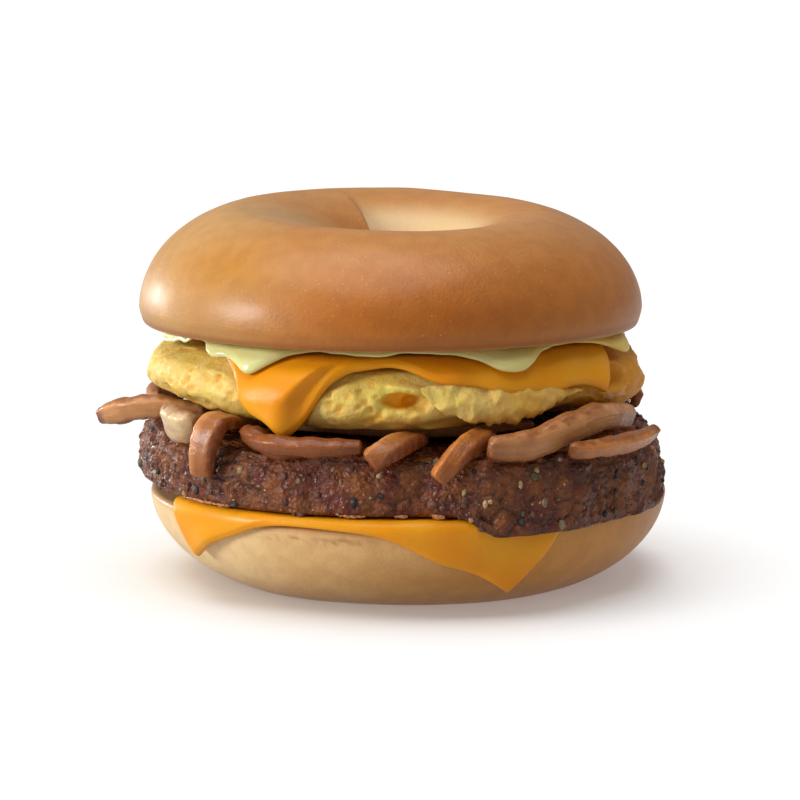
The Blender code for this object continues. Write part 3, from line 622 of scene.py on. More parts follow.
def named_value(tree, name, data_type):
    """What the points carry under a name."""
    settings = {"data_type": data_type}
    return add_node(tree, "GeometryNodeInputNamedAttribute", settings, Name=name).outputs[0]


def with_value(tree, geometry, name, value):
    """The geometry, whose points also carry a number under a name."""
    settings = {"data_type": "FLOAT", "domain": "POINT"}
    kind = "GeometryNodeStoreNamedAttribute"
    return add_node(tree, kind, settings, Geometry=geometry, Name=name, Value=value).outputs[0]


def moved(tree, geometry, **inputs):
    return add_node(tree, "GeometryNodeSetPosition", Geometry=geometry, **inputs).outputs[0]


def own_position(tree):
    return tree.nodes.new("GeometryNodeInputPosition").outputs[0]


def swept_grid(tree, steps_u, steps_v):
    """A grid with one step count each way, and its two running shares from 0 to 1."""
    grid = add_node(
        tree, "GeometryNodeMeshGrid", Size_X=1.0, Size_Y=1.0, Vertices_X=plus(tree, steps_u, 1),
        Vertices_Y=plus(tree, steps_v, 1),
    )
    split = add_node(tree, "ShaderNodeSeparateXYZ", Vector=own_position(tree))
    shares = [plus(tree, split.outputs[axis], 0.5) for axis in (0, 1)]
    return grid.outputs["Mesh"], shares[0], shares[1]


def make_ring_tree():
    """Turns the closed outline of a section, drawn in the XZ plane, round the Z axis."""
    inputs = {
        "Steps Around": 300,
        "Steps Along": 160,
        "Middle": (0.0, 0.0, 0.0),
        "Cut Height": 0.0,
        "Unevenness": 0.3,
        "Unevenness Size": 24.0,
        "Blisters": 0.05,
        "Blister Size": 2.2,
        "Seed": 0.0,
    }
    tree, given, outputs = new_geometry_tree("bagel_ring", inputs)
    outline = add_node(tree, "GeometryNodeMeshToCurve", Mesh=given["Geometry"]).outputs[0]
    grid, around, along = swept_grid(tree, given["Steps Around"], given["Steps Along"])
    by_share = {"mode": "FACTOR"}
    sample = add_node(tree, "GeometryNodeSampleCurve", by_share, Curves=outline, Factor=along)
    turned = add_node(
        tree, "ShaderNodeVectorRotate", {"rotation_type": "Z_AXIS"},
        Vector=sample.outputs["Position"], Angle=times(tree, around, 2.0 * math.pi),
    )
    placed = combine_vectors(tree, "ADD", turned.outputs[0], given["Middle"])
    swept = moved(tree, grid, Position=placed)
    closed = add_node(tree, "GeometryNodeMergeByDistance", Geometry=swept, Distance=1e-3).outputs[0]
    here = own_position(tree)
    height = add_node(tree, "ShaderNodeSeparateXYZ", Vector=here).outputs[2]
    off_cut = combine(tree, "ABSOLUTE", combine(tree, "SUBTRACT", height, given["Cut Height"]))
    crust = rescale(tree, off_cut, 0.1, 3.0)
    wide = uneven_offset(tree, here, given["Unevenness Size"], given["Unevenness"], given["Seed"])
    fine = uneven_offset(tree, here, given["Blister Size"], given["Blisters"], given["Seed"])
    total = combine_vectors(tree, "SCALE", combine_vectors(tree, "ADD", wide, fine), crust)
    uneven = moved(tree, closed, Offset=total)
    finish_geometry(tree, outputs, uneven, given["Material"])
    return tree


def squared_off(tree, value):
    """A sine or cosine whose curve keeps longer to its ends, for a flatter section."""
    size = combine(tree, "POWER", combine(tree, "ABSOLUTE", value), ONION_SQUARENESS)
    return times(tree, size, combine(tree, "SIGN", value))


def make_strip_tree():
    """Sweeps a flattened, cupped section with a ridge along a line, closing to a blunt end.

    Each point of the line carries the directions of its width and of its thickness, and taper.
    """
    inputs = {
        "Steps Along": 110,
        "Steps Around": 40,
        "Width": 5.0,
        "Thickness": 3.0,
        "Cupping": 0.3,
        "Ridge": 0.3,
        "Ridge Side": 0.4,
        "Unevenness": 0.2,
        "Unevenness Size": 4.5,
        "Seed": 0.0,
    }
    tree, given, outputs = new_geometry_tree("soft_strip", inputs)
    line = add_node(tree, "GeometryNodeMeshToCurve", Mesh=given["Geometry"]).outputs[0]
    grid, along, around = swept_grid(tree, given["Steps Along"], given["Steps Around"])
    angle = times(tree, around, 2.0 * math.pi)
    sampled = {}
    carried_kinds = {"broad": "FLOAT_VECTOR", "thin": "FLOAT_VECTOR", "taper": "FLOAT"}
    for name, data_type in carried_kinds.items():
        carried = named_value(tree, name, data_type)
        sample = add_node(
            tree, "GeometryNodeSampleCurve", {"mode": "FACTOR", "data_type": data_type},
            Curves=line, Factor=along, Value=carried,
        )
        sampled[name] = sample.outputs["Value"]
        middle = sample.outputs["Position"]
    place_along = add_node(
        tree, "ShaderNodeCombineXYZ", X=times(tree, along, 6.0), Y=given["Seed"]
    ).outputs[0]
    swelling = add_node(tree, "ShaderNodeTexNoise", Vector=place_along, Scale=1.0, Detail=1.0)
    breadth = rescale(tree, swelling.outputs[0], 0.3, 0.7, 0.88, 1.06)
    half = times(tree, sampled["taper"], 0.5)
    half_width = times(tree, given["Width"], times(tree, half, breadth))
    half_depth = times(tree, given["Thickness"], half)
    turn, rise = combine(tree, "COSINE", angle), combine(tree, "SINE", angle)
    side = times(tree, squared_off(tree, turn), half_width)
    cup = times(tree, times(tree, turn, turn), given["Cupping"])
    off_ridge = combine(tree, "ABSOLUTE", combine(tree, "SUBTRACT", turn, given["Ridge Side"]))
    crest = rescale(tree, off_ridge, 0.45, 0.0, 0.0, given["Ridge"])
    outer = combine(tree, "MAXIMUM", rise, 0.0)
    ridge = times(tree, crest, outer)
    sunk = times(tree, combine(tree, "SUBTRACT", cup, ridge), sampled["taper"])
    depth = combine(tree, "SUBTRACT", times(tree, squared_off(tree, rise), half_depth), sunk)
    offset = combine_vectors(
        tree, "ADD", combine_vectors(tree, "SCALE", sampled["broad"], side),
        combine_vectors(tree, "SCALE", sampled["thin"], depth),
    )
    placed = combine_vectors(tree, "ADD", middle, offset)
    for name, value in (("along", along), ("across", side)):
        grid = with_value(tree, grid, name, value)
    swept = moved(tree, grid, Position=placed)
    closed = add_node(tree, "GeometryNodeMergeByDistance", Geometry=swept, Distance=1e-3).outputs[0]
    here = own_position(tree)
    wide = uneven_offset(tree, here, given["Unevenness Size"], given["Unevenness"], given["Seed"])
    uneven = moved(tree, closed, Offset=wide)
    finish_geometry(tree, outputs, uneven, given["Material"])
    return tree


def make_grain_tree():
    """Scatters cracked grains on a surface, more of them where its "seasoned" value is high."""
    inputs = {
        "Density": 0.1,
        "Spacing": 1.2,
        "Smallest": 0.2,
        "Largest": 1.0,
        "Roughness": 0.4,
        "Seed": 0,
    }
    tree, given, outputs = new_geometry_tree("scattered_grains", inputs)
    scatter = add_node(
        tree, "GeometryNodeDistributePointsOnFaces", {"distribute_method": "POISSON"},
        Mesh=given["Geometry"], Distance_Min=given["Spacing"], Density_Max=given["Density"],
        Density_Factor=named_value(tree, "seasoned", "FLOAT"), Seed=given["Seed"],
    )
    draws = []
    for step in range(3):
        draw = add_node(tree, "FunctionNodeRandomValue", {"data_type": "FLOAT"})
        put(tree, draw.inputs["Seed"], plus(tree, given["Seed"], step + 1))
        draws.append(draw.outputs[1])
    kind = with_value(tree, scatter.outputs["Points"], "kind", draws[0])
    spread = combine(tree, "POWER", draws[1], 3.0)
    reach = combine(tree, "SUBTRACT", given["Largest"], given["Smallest"])
    size = plus(tree, given["Smallest"], times(tree, spread, reach))
    stretch = add_node(tree, "FunctionNodeRandomValue", {"data_type": "FLOAT_VECTOR"})
    stretch.inputs[0].default_value = (0.6, 0.8, 0.4)
    stretch.inputs[1].default_value = (1.2, 1.4, 0.8)
    put(tree, stretch.inputs["Seed"], plus(tree, given["Seed"], 13))
    grain = add_node(tree, "GeometryNodeMeshUVSphere", Segments=7, Rings=5, Radius=1.0)
    copies = add_node(
        tree, "GeometryNodeInstanceOnPoints", Points=kind, Instance=grain.outputs["Mesh"],
        Rotation=scatter.outputs["Rotation"],
        Scale=combine_vectors(tree, "SCALE", stretch.outputs[0], size),
    )
    real = add_node(tree, "GeometryNodeRealizeInstances", Geometry=copies.outputs[0]).outputs[0]
    here = own_position(tree)
    rough = times(tree, given["Roughness"], given["Largest"])
    offset = uneven_offset(tree, here, times(tree, given["Largest"], 0.45), rough, 3.0)
    cracked = moved(tree, real, Offset=offset)
    finish_geometry(tree, outputs, cracked, given["Material"])
    return tree


# Shader groups. Each one turns a place on the surface into a mask, a colour or a height.


def make_mottle_group():
    """Two colours that run into each other in soft patches."""
    inputs = {
        "Vector": "Vector",
        "Scale": 100.0,
        "Detail": 4.0,
        "Middle": 0.5,
        "Softness": 0.15,
        "First Colour": (1.0, 1.0, 1.0, 1.0),
        "Second Colour": (0.0, 0.0, 0.0, 1.0),
    }
    results = {"Colour": "Color", "Mask": "Float"}
    tree, given, outputs = new_tree("mottle", "ShaderNodeTree", inputs, results)
    noise_inputs = {label: given[label] for label in ("Vector", "Scale", "Detail")}
    pattern = add_node(tree, "ShaderNodeTexNoise", **noise_inputs)
    low = combine(tree, "SUBTRACT", given["Middle"], given["Softness"])
    high = plus(tree, given["Middle"], given["Softness"])
    mask = rescale(tree, pattern.outputs[0], low, high)
    colour = mix_colours(tree, mask, given["First Colour"], given["Second Colour"])
    put(tree, outputs["Colour"], colour)
    put(tree, outputs["Mask"], mask)
    return tree


def make_speckle_group():
    """Small round spots, of which a share is left out at random."""
    inputs = {"Vector": "Vector", "Scale": 800.0, "Size": 0.3, "Share": 0.4}
    results = {"Mask": "Float"}
    tree, given, outputs = new_tree("speckle", "ShaderNodeTree", inputs, results)
    spots = add_node(tree, "ShaderNodeTexVoronoi", Vector=given["Vector"], Scale=given["Scale"])
    draw = add_node(tree, "ShaderNodeSeparateColor", Color=spots.outputs["Color"]).outputs[0]
    kept = combine(tree, "LESS_THAN", draw, given["Share"])
    near = rescale(tree, spots.outputs["Distance"], given["Size"], 0.0)
    put(tree, outputs["Mask"], times(tree, near, kept))
    return tree


def make_grain_relief_group():
    """A height from coarse waves, fine grain and the rims of small cells."""
    inputs = {"Vector": "Vector", "Scale": 400.0, "Grain": 0.4, "Cells": 0.3}
    results = {"Height": "Float"}
    tree, given, outputs = new_tree("surface_relief", "ShaderNodeTree", inputs, results)
    where, scale = given["Vector"], given["Scale"]
    coarse = add_node(tree, "ShaderNodeTexNoise", Vector=where, Scale=scale, Detail=3.0)
    fine_scale, cell_scale = times(tree, scale, 4.0), times(tree, scale, 1.7)
    fine = add_node(tree, "ShaderNodeTexNoise", Vector=where, Scale=fine_scale, Detail=2.0)
    cell = add_node(tree, "ShaderNodeTexVoronoi", Vector=where, Scale=cell_scale)
    total = plus(tree, coarse.outputs[0], times(tree, fine.outputs[0], given["Grain"]))
    total = plus(tree, total, times(tree, cell.outputs[0], given["Cells"]))
    put(tree, outputs["Height"], total)
    return tree


def placed_group(tree, name, vector, **inputs):
    group = {"node_tree": bpy.data.node_groups[name]}
    return add_node(tree, "ShaderNodeGroup", group, Vector=vector, **inputs).outputs


def mask_of(tree, name, vector, **inputs):
    """Where the patches or spots of a group lie."""
    return placed_group(tree, name, vector, **inputs)["Mask"]


def mottled(tree, where, first, second, **inputs):
    """The mottle group with two tones of its own."""
    tones = {"First_Colour": opaque(first), "Second_Colour": opaque(second)}
    return placed_group(tree, "mottle", where, **tones, **inputs)


def new_material(name):
    """A material with its shader and the object's own coordinates, in metres."""
    material = bpy.data.materials.new(name)
    material.use_nodes = True
    tree = material.node_tree
    shader = tree.nodes["Principled BSDF"]
    where = tree.nodes.new("ShaderNodeTexCoord").outputs["Object"]
    return material, tree, shader, where


def painted(tree, name):
    return add_node(tree, "ShaderNodeAttribute", {"attribute_name": name}).outputs["Fac"]


def bumped(tree, height, distance, strength):
    return add_node(
        tree, "ShaderNodeBump", Height=height, Distance=distance, Strength=strength
    ).outputs[0]


def rough_normal(tree, where, distance, strength, **inputs):
    """The surface's normal with the relief group's height on it."""
    relief = placed_group(tree, "surface_relief", where, **inputs)
    return bumped(tree, relief["Height"], distance, strength)


def tinted(tree, colour, share, tone, most=1.0):
    """The colour under a tone. The share is a mask or the name of a painted value."""
    if isinstance(share, str):
        share = painted(tree, share)
    if most != 1.0:
        share = times(tree, share, most)
    return mix_colours(tree, share, colour, opaque(tone))


def tinted_by_name(tree, colour, settings, *names):
    """The colour under the tone in the settings for each painted value."""
    for name in names:
        colour = tinted(tree, colour, name, getattr(settings, name + "_colour"))
    return colour


def opaque(colour):
    return (colour[0], colour[1], colour[2], 1.0)


def make_crust(name, settings, toasted, pale):
    """Smooth baked crust with fine blisters, over a pale crumb where the bagel is cut."""
    material, tree, shader, where = new_material(name)
    patches = mask_of(tree, "mottle", where, Scale=42.0, Detail=5.0, Softness=0.25)
    # The pale share is partly paler baking and partly painted sheen where the light falls.
    pale_and_sheen_share = plus(tree, painted(tree, "pale"), times(tree, patches, 0.16))
    colour = tinted(tree, opaque(toasted), pale_and_sheen_share, pale)
    # The deep tone lays toasting and painted shade on the side away from the light.
    colour = tinted_by_name(tree, colour, settings, "deep", "golden")
    streaks = mottled(
        tree, where, WHITE, (0.92, 0.9, 0.88), Scale=260.0, Detail=6.0, Softness=0.12
    )
    colour = mix_colours(tree, 1.0, colour, streaks["Colour"], "MULTIPLY")
    spots = mask_of(tree, "speckle", where, Scale=1100.0, Size=0.32, Share=0.3)
    zones = mask_of(tree, "mottle", where, Scale=60.0, Detail=3.0, Middle=0.52, Softness=0.12)
    spot_share = times(tree, spots, rescale(tree, zones, 0.0, 1.0, 0.05, 0.45))
    colour = tinted(tree, colour, spot_share, settings.blister_colour)
    freckles = mask_of(tree, "speckle", where, Scale=560.0, Size=0.22, Share=0.16)
    colour = tinted(tree, colour, freckles, settings.deep_colour, 0.4)
    colour = tinted_by_name(tree, colour, settings, "crumb", "toast")
    rough = plus(tree, settings.roughness, times(tree, painted(tree, "crumb"), 0.3))
    set_inputs(
        tree, shader, Base_Color=colour, Roughness=plus(tree, rough, times(tree, patches, 0.08)),
        Specular_IOR_Level=0.2, Coat_Weight=0.2, Coat_Roughness=0.24, Subsurface_Weight=0.06,
        Subsurface_Radius=(1.0, 0.5, 0.25), Subsurface_Scale=0.003,
        Normal=rough_normal(tree, where, 0.00009, 0.8, Scale=900.0, Grain=0.5, Cells=0.5),
    )
    return material


def make_cheese_material(settings):
    material, tree, shader, where = new_material("cheese")
    body = mottled(
        tree, where, settings.colour, settings.deep_colour, Scale=70.0, Detail=3.0, Softness=0.25
    )
    colour = tinted_by_name(tree, body["Colour"], settings, "edge")
    stains = mask_of(tree, "speckle", where, Scale=120.0, Size=0.16, Share=0.12)
    set_inputs(
        tree, shader, Base_Color=tinted(tree, colour, stains, settings.stain_colour, 0.35),
        Roughness=plus(tree, 0.3, times(tree, body["Mask"], 0.1)), Specular_IOR_Level=0.25,
        Subsurface_Weight=0.2, Subsurface_Radius=(1.0, 0.4, 0.05), Subsurface_Scale=0.003,
        Normal=rough_normal(tree, where, 0.00025, 0.6, Scale=180.0, Grain=0.15, Cells=0.0),
    )
    return material


def make_egg_material(settings):
    material, tree, shader, where = new_material("egg")
    body = mottled(
        tree, where, settings.colour, settings.pale_colour, Scale=95.0, Detail=6.0, Softness=0.16
    )
    fine = mottled(tree, where, WHITE, (0.93, 0.88, 0.72), Scale=420.0, Detail=5.0, Softness=0.14)
    colour = mix_colours(tree, 1.0, body["Colour"], fine["Colour"], "MULTIPLY")
    # The tints of the right side, the underside and the pockets are painted shade.
    colour = tinted_by_name(tree, colour, settings, "green", "warm", "fried", "hollow")
    set_inputs(
        tree, shader, Base_Color=colour,
        Roughness=plus(tree, 0.46, times(tree, body["Mask"], 0.15)), Specular_IOR_Level=0.35,
        Subsurface_Weight=0.25, Subsurface_Radius=(1.0, 0.6, 0.12), Subsurface_Scale=0.003,
        Normal=rough_normal(tree, where, 0.0003, 0.8, Scale=420.0, Grain=0.5, Cells=0.5),
    )
    return material


def make_sauce_material(settings):
    material, tree, shader, where = new_material("sauce")
    body = mottled(
        tree, where, settings.colour, settings.green_colour, Scale=120.0, Detail=3.0, Softness=0.2
    )
    # The right side's tint is painted shade with a painted bounce of the cheese's colour.
    set_inputs(
        tree, shader, Base_Color=tinted(tree, body["Colour"], "warm", settings.warm_colour),
        Roughness=plus(tree, 0.16, times(tree, body["Mask"], 0.08)), Subsurface_Weight=0.3,
        Subsurface_Radius=(1.0, 0.9, 0.4), Subsurface_Scale=0.002,
        Normal=rough_normal(tree, where, 0.0003, 0.5, Scale=150.0, Grain=0.1, Cells=0.0),
    )
    return material


def make_meat_material(settings):
    material, tree, shader, where = new_material("meat")
    body = mottled(
        tree, where, settings.colour, settings.brown_colour, Scale=150.0, Detail=8.0, Softness=0.12
    )
    strands = mask_of(tree, "mottle", where, Scale=900.0, Detail=6.0, Middle=0.62, Softness=0.06)
    colour = tinted(tree, body["Colour"], strands, settings.light_colour, 0.32)
    char = mask_of(tree, "mottle", where, Scale=85.0, Detail=7.0, Middle=0.6, Softness=0.08)
    colour = tinted(tree, colour, char, settings.char_colour, 0.55)
    wet = mask_of(tree, "mottle", where, Scale=300.0, Detail=4.0, Middle=0.52, Softness=0.1)
    # The grooves between crumbles get the char tone as painted shade.
    set_inputs(
        tree, shader, Base_Color=tinted(tree, colour, "groove", settings.char_colour),
        Roughness=rescale(tree, wet, 0.0, 1.0, 0.26, 0.55), Specular_IOR_Level=0.32,
        Normal=rough_normal(tree, where, 0.0006, 0.9, Scale=520.0, Grain=0.3, Cells=0.8),
    )
    return material


def make_spice_material(settings):
    """Cracked pepper and seeds, each grain with a tint of its own."""
    material, tree, shader, where = new_material("spice")
    tints = tree.nodes.new("ShaderNodeValToRGB")
    put(tree, tints.inputs[0], painted(tree, "kind"))
    tints.color_ramp.interpolation = "CONSTANT"
    stops = (
        (0.0, settings.pepper_colour),
        (0.2, settings.crumb_colour),
        (0.66, settings.husk_colour),
        (0.78, settings.green_colour),
        (0.83, settings.seed_colour),
        (0.96, settings.flake_colour),
    )
    ramp_points = tints.color_ramp.elements
    while len(ramp_points) < len(stops):
        ramp_points.new(0.5)
    for point, (at, colour) in zip(ramp_points, stops):
        point.position = at
        point.color = opaque(colour)
    shade = mottled(
        tree, where, WHITE, (0.5, 0.48, 0.46), Scale=1500.0, Detail=4.0, Softness=0.15
    )
    set_inputs(
        tree, shader,
        Base_Color=mix_colours(tree, 1.0, tints.outputs[0], shade["Colour"], "MULTIPLY"),
        Roughness=rescale(tree, shade["Mask"], 0.0, 1.0, 0.35, 0.65),
        Normal=rough_normal(tree, where, 0.0002, 0.8, Scale=1500.0, Grain=0.5, Cells=0.5),
    )
    return material


def make_onion_material(settings):
    """Soft fried onion: translucent layers along the strip, fried brown at its ends and edges, with
    painted shade on one side and over the strips that lie in shade.
    """
    material, tree, shader, where = new_material("onion")
    line = add_node(
        tree, "ShaderNodeCombineXYZ", X=times(tree, painted(tree, "along"), 0.0035),
        Y=painted(tree, "across_metres"), Z=painted(tree, "strip_seed"),
    ).outputs[0]
    layers = mask_of(tree, "mottle", line, Scale=900.0, Detail=4.0, Softness=0.16)
    blotches = mask_of(tree, "mottle", where, Scale=220.0, Detail=5.0, Middle=0.58, Softness=0.12)
    spots = mask_of(tree, "speckle", where, Scale=900.0, Size=0.2, Share=0.06)
    colour = tinted(tree, opaque(settings.colour), "pale", settings.pale_colour)
    colour = tinted(tree, colour, layers, settings.brown_colour, 0.22)
    colour = tinted(tree, colour, blotches, settings.brown_colour, 0.3)
    # Brown ends and edges, with painted shade on one side and over strips that lie in shade.
    colour = tinted(tree, colour, "browned", settings.brown_colour)
    colour = tinted(tree, colour, "charred", settings.char_colour)
    skin = placed_group(tree, "surface_relief", where, Scale=900.0, Grain=0.5, Cells=0.3)
    wrinkles = plus(tree, skin["Height"], times(tree, layers, -0.5))
    set_inputs(
        tree, shader, Base_Color=tinted(tree, colour, spots, settings.char_colour, 0.8),
        Roughness=rescale(tree, blotches, 0.0, 1.0, 0.2, 0.4), Specular_IOR_Level=0.3,
        Coat_Weight=0.14, Coat_Roughness=0.14, Subsurface_Weight=0.45,
        Subsurface_Radius=(1.0, 0.45, 0.2), Subsurface_Scale=0.003,
        Normal=bumped(tree, wrinkles, 0.00016, 0.8),
    )
    return material


def make_juice_material(settings):
    """Fat and juice that has set to a pale, glossy bead."""
    material, tree, shader, where = new_material("juice")
    fat, light = settings.fat_colour, settings.light_colour
    body = mottled(tree, where, fat, light, Scale=320.0, Detail=4.0, Softness=0.2)
    set_inputs(
        tree, shader, Base_Color=body["Colour"],
        Roughness=rescale(tree, body["Mask"], 0.0, 1.0, 0.14, 0.3), Subsurface_Weight=0.3,
        Subsurface_Radius=(1.0, 0.6, 0.4), Subsurface_Scale=0.001,
    )
    return material


# The two halves of the bagel


def arc_reaches(middle, radius, taper, angles):
    return [middle + radius * max(cosine(angle), 0.0) ** taper for angle in angles]


def lower_outline():
    """Reach and height round the section of the lower half."""
    tube_middle = LOWER_REACH - LOWER_WALL_RADIUS
    drop = LOWER_CUT + LOWER_FLATTENED
    angles = range(3, 91, 3)
    reaches = arc_reaches(tube_middle, LOWER_WALL_RADIUS, LOWER_WALL_TAPER, angles)
    points = [(LOWER_REACH - 0.7, LOWER_CUT), (LOWER_REACH - 0.2, LOWER_CUT - 0.2)]
    for reach, angle in zip(reaches, angles):
        points.append((reach, max(LOWER_CUT - drop * sine(angle), 0.0)))
    inner = tube_middle - LOWER_HOLE_RADIUS
    for angle in range(87, -1, -3):
        height = LOWER_CUT - between(LOWER_HOLE_STRAIGHT, drop, sine(angle))
        points.append((tube_middle - LOWER_FLATTENED - inner * cosine(angle), max(height, 0.0)))
    points.append((LOWER_HOLE_RADIUS, LOWER_CUT - 0.8))
    points.append((LOWER_HOLE_RADIUS + LOWER_HOLE_LIP, LOWER_CUT))
    return points


def upper_outline():
    """Reach and height round the section of the upper half, before its seam and droop."""
    tube_middle = UPPER_REACH - UPPER_TUBE_RADIUS
    angles = range(2, 91, 2)
    reaches = arc_reaches(tube_middle, UPPER_TUBE_RADIUS, UPPER_WALL_TAPER, angles)
    rise = UPPER_CREST - UPPER_WIDEST
    rim = UPPER_REACH - UPPER_RIM_INSET
    points = [(rim - 0.6, UPPER_CUT), (rim, UPPER_CUT + 0.5)]
    points += [(reach, UPPER_WIDEST + rise * sine(angle)) for reach, angle in zip(reaches, angles)]
    for angle in range(86, -1, -4):
        height = UPPER_HOLE_WAIST + (UPPER_CREST - UPPER_HOLE_WAIST) * sine(angle)
        points.append((tube_middle - (tube_middle - UPPER_HOLE_RADIUS) * cosine(angle), height))
    points.append((UPPER_HOLE_RADIUS + 0.2, UPPER_CUT + 0.8))
    points.append((UPPER_HOLE_RADIUS + UPPER_HOLE_LIP, UPPER_CUT))
    return points


def outline_mesh(outline):
    points = [(reach, 0.0, height) for reach, height in outline]
    edges = [(step, (step + 1) % len(points)) for step in range(len(points))]
    mesh = bpy.data.meshes.new("outline")
    mesh.from_pydata(points, edges, [])
    return mesh


def seam_overlap(azimuth):
    """How far the dough on the left of the seam stands over the hole."""
    seam = turn_between(azimuth, UPPER_SEAM_AZIMUTH)
    return UPPER_SEAM_STEP * ramp(seam, -1.0, 3.0) * ramp(seam, 110.0, 40.0)


def shape_upper(mesh):
    """Gives the dome its higher back and left, its drooping ends and the seam in its hole."""
    points = points_of(mesh)
    tube_middle = UPPER_REACH - UPPER_TUBE_RADIUS
    for index, point in enumerate(points):
        azimuth, reach, height = seen_from(UPPER_X, point)
        share = max((height - UPPER_WIDEST) / (UPPER_CREST - UPPER_WIDEST), 0.0)
        rise = UPPER_CREST_BACK_RISE * sine(azimuth) - UPPER_CREST_LEFT_RISE * cosine(azimuth)
        droop = bump_at(azimuth, RIGHT, 38.0) + 0.5 * bump_at(azimuth, LEFT, 30.0)
        droop *= UPPER_EDGE_DROOP * ramp(reach, UPPER_DROOP_START, UPPER_REACH)
        droop *= ramp(height, UPPER_WIDEST + 3.0, UPPER_CUT)
        if reach < tube_middle and height > UPPER_HOLE_WAIST - UPPER_HOLE_BLEND:
            above = (height - UPPER_HOLE_WAIST) / (UPPER_CREST - UPPER_HOLE_WAIST)
            up = min(max(above, 0.0), 1.0)
            inward = math.sqrt(1.0 - up * up)
            low = ramp(height, UPPER_HOLE_WAIST - UPPER_HOLE_BLEND, UPPER_HOLE_WAIST)
            reach -= seam_overlap(azimuth) * inward * (0.4 + up) * low
        points[index] = place(UPPER_X, azimuth, reach, height + rise * share - droop)
    move_points(mesh, points)


def paint_crust(mesh, middle_x, shares_at):
    """Stores the shares that shares_at gives for a point, its azimuth, reach and height."""
    shares = [shares_at(point, *seen_from(middle_x, point)) for point in points_of(mesh)]
    for name, values in zip(CRUST_SHARES, zip(*shares)):
        paint(mesh, name, values)


def upper_shares(point, azimuth, reach, height):
    """Where the crust is pale, deep brown or golden, the crumb shows or the rim is toasted.
    Pale is partly a painted sheen on the lit left side and top, and the deep band round the
    front right is partly painted shade.
    """
    loose = 8.0 * wave(point, 16.0, 41.0)
    ragged = 2.0 * wave(point, 5.0, 43.0)
    left = ramp(abs(turn_between(azimuth + loose, 196.0)), 76.0, 10.0)
    # Partly paler baking and partly painted sheen: the left side, towards the key light, and the
    # top.
    pale = max(0.85 * left, 0.35 * ramp(height + ragged, 66.0, 74.0))
    # The deep band round the front right is partly toasting and partly painted shade.
    band = bump(height, 60.0 + 0.4 * ragged, 6.5) * bump_at(azimuth, 281.0 + loose, 34.0)
    round_back = bump(height, 62.0 + ragged, 7.0) * bump_at(azimuth, 80.0 + loose, 60.0)
    golden = bump_at(azimuth, 226.0 + loose, 17.0) * bump(height, 68.0 + ragged, 4.5)
    golden += 0.7 * bump_at(azimuth, 30.0 + loose, 25.0) * bump(height, 70.0 + ragged, 4.0)
    cut = ramp(height, UPPER_CUT + 0.7, UPPER_CUT + 0.1)
    cut *= ramp(reach, UPPER_REACH, UPPER_REACH - 2.0)
    inside = ramp(reach, 27.0, 16.0) * ramp(height, 76.5, 71.0)
    turn = turn_between(azimuth, UPPER_SEAM_AZIMUTH)
    pale_side = ramp(turn, 1.0, -1.0) * ramp(turn, -170.0, -130.0)
    crumb = max(cut, 0.85 * inside * pale_side)
    rim = bump(height, UPPER_CUT + 0.5, 0.7) * ramp(reach, 48.0, 51.0)
    return pale, 0.75 * band + 0.6 * round_back, 0.8 * golden, crumb, 0.8 * rim


def lower_shares(point, azimuth, reach, height):
    """The same shares for the lower half, whose foot is darker. Its pale left side is partly a
    painted sheen, and its deep share holds painted shade on the right side.
    """
    loose = 8.0 * wave(point, 14.0, 51.0)
    pale = ramp(abs(turn_between(azimuth + loose, 190.0)), 120.0, 15.0)
    foot = ramp(height, 6.0 + 0.3 * loose, 0.5)
    golden = 0.5 * bump_at(azimuth, 278.0 + loose, 30.0) * bump(height, 7.0, 5.0)
    cut = ramp(height, LOWER_CUT - 0.4, LOWER_CUT - 0.1)
    cut *= ramp(reach, LOWER_REACH, LOWER_REACH - 2.0)
    crumb = max(cut, 0.7 * ramp(reach, 15.0, 11.0))
    ragged = 0.9 * wave(point, 2.6, 57.0)
    seep = bump(height, 15.6 + ragged, 0.7) * bump_at(azimuth, 250.0, 13.0, 4)
    seep *= ramp(wave(point, 1.3, 59.0), -0.3, 0.3)
    rim = 0.5 * bump(height, LOWER_CUT - 0.3, 0.8)
    # The deep share is the darker foot and painted shade on the right side.
    return pale, 0.3 * foot + 0.3 * shaded_side(azimuth), golden, crumb, max(0.6 * seep, rim)


# Sheets that lie flat and hang over a rim: the cheese slices and the sauce


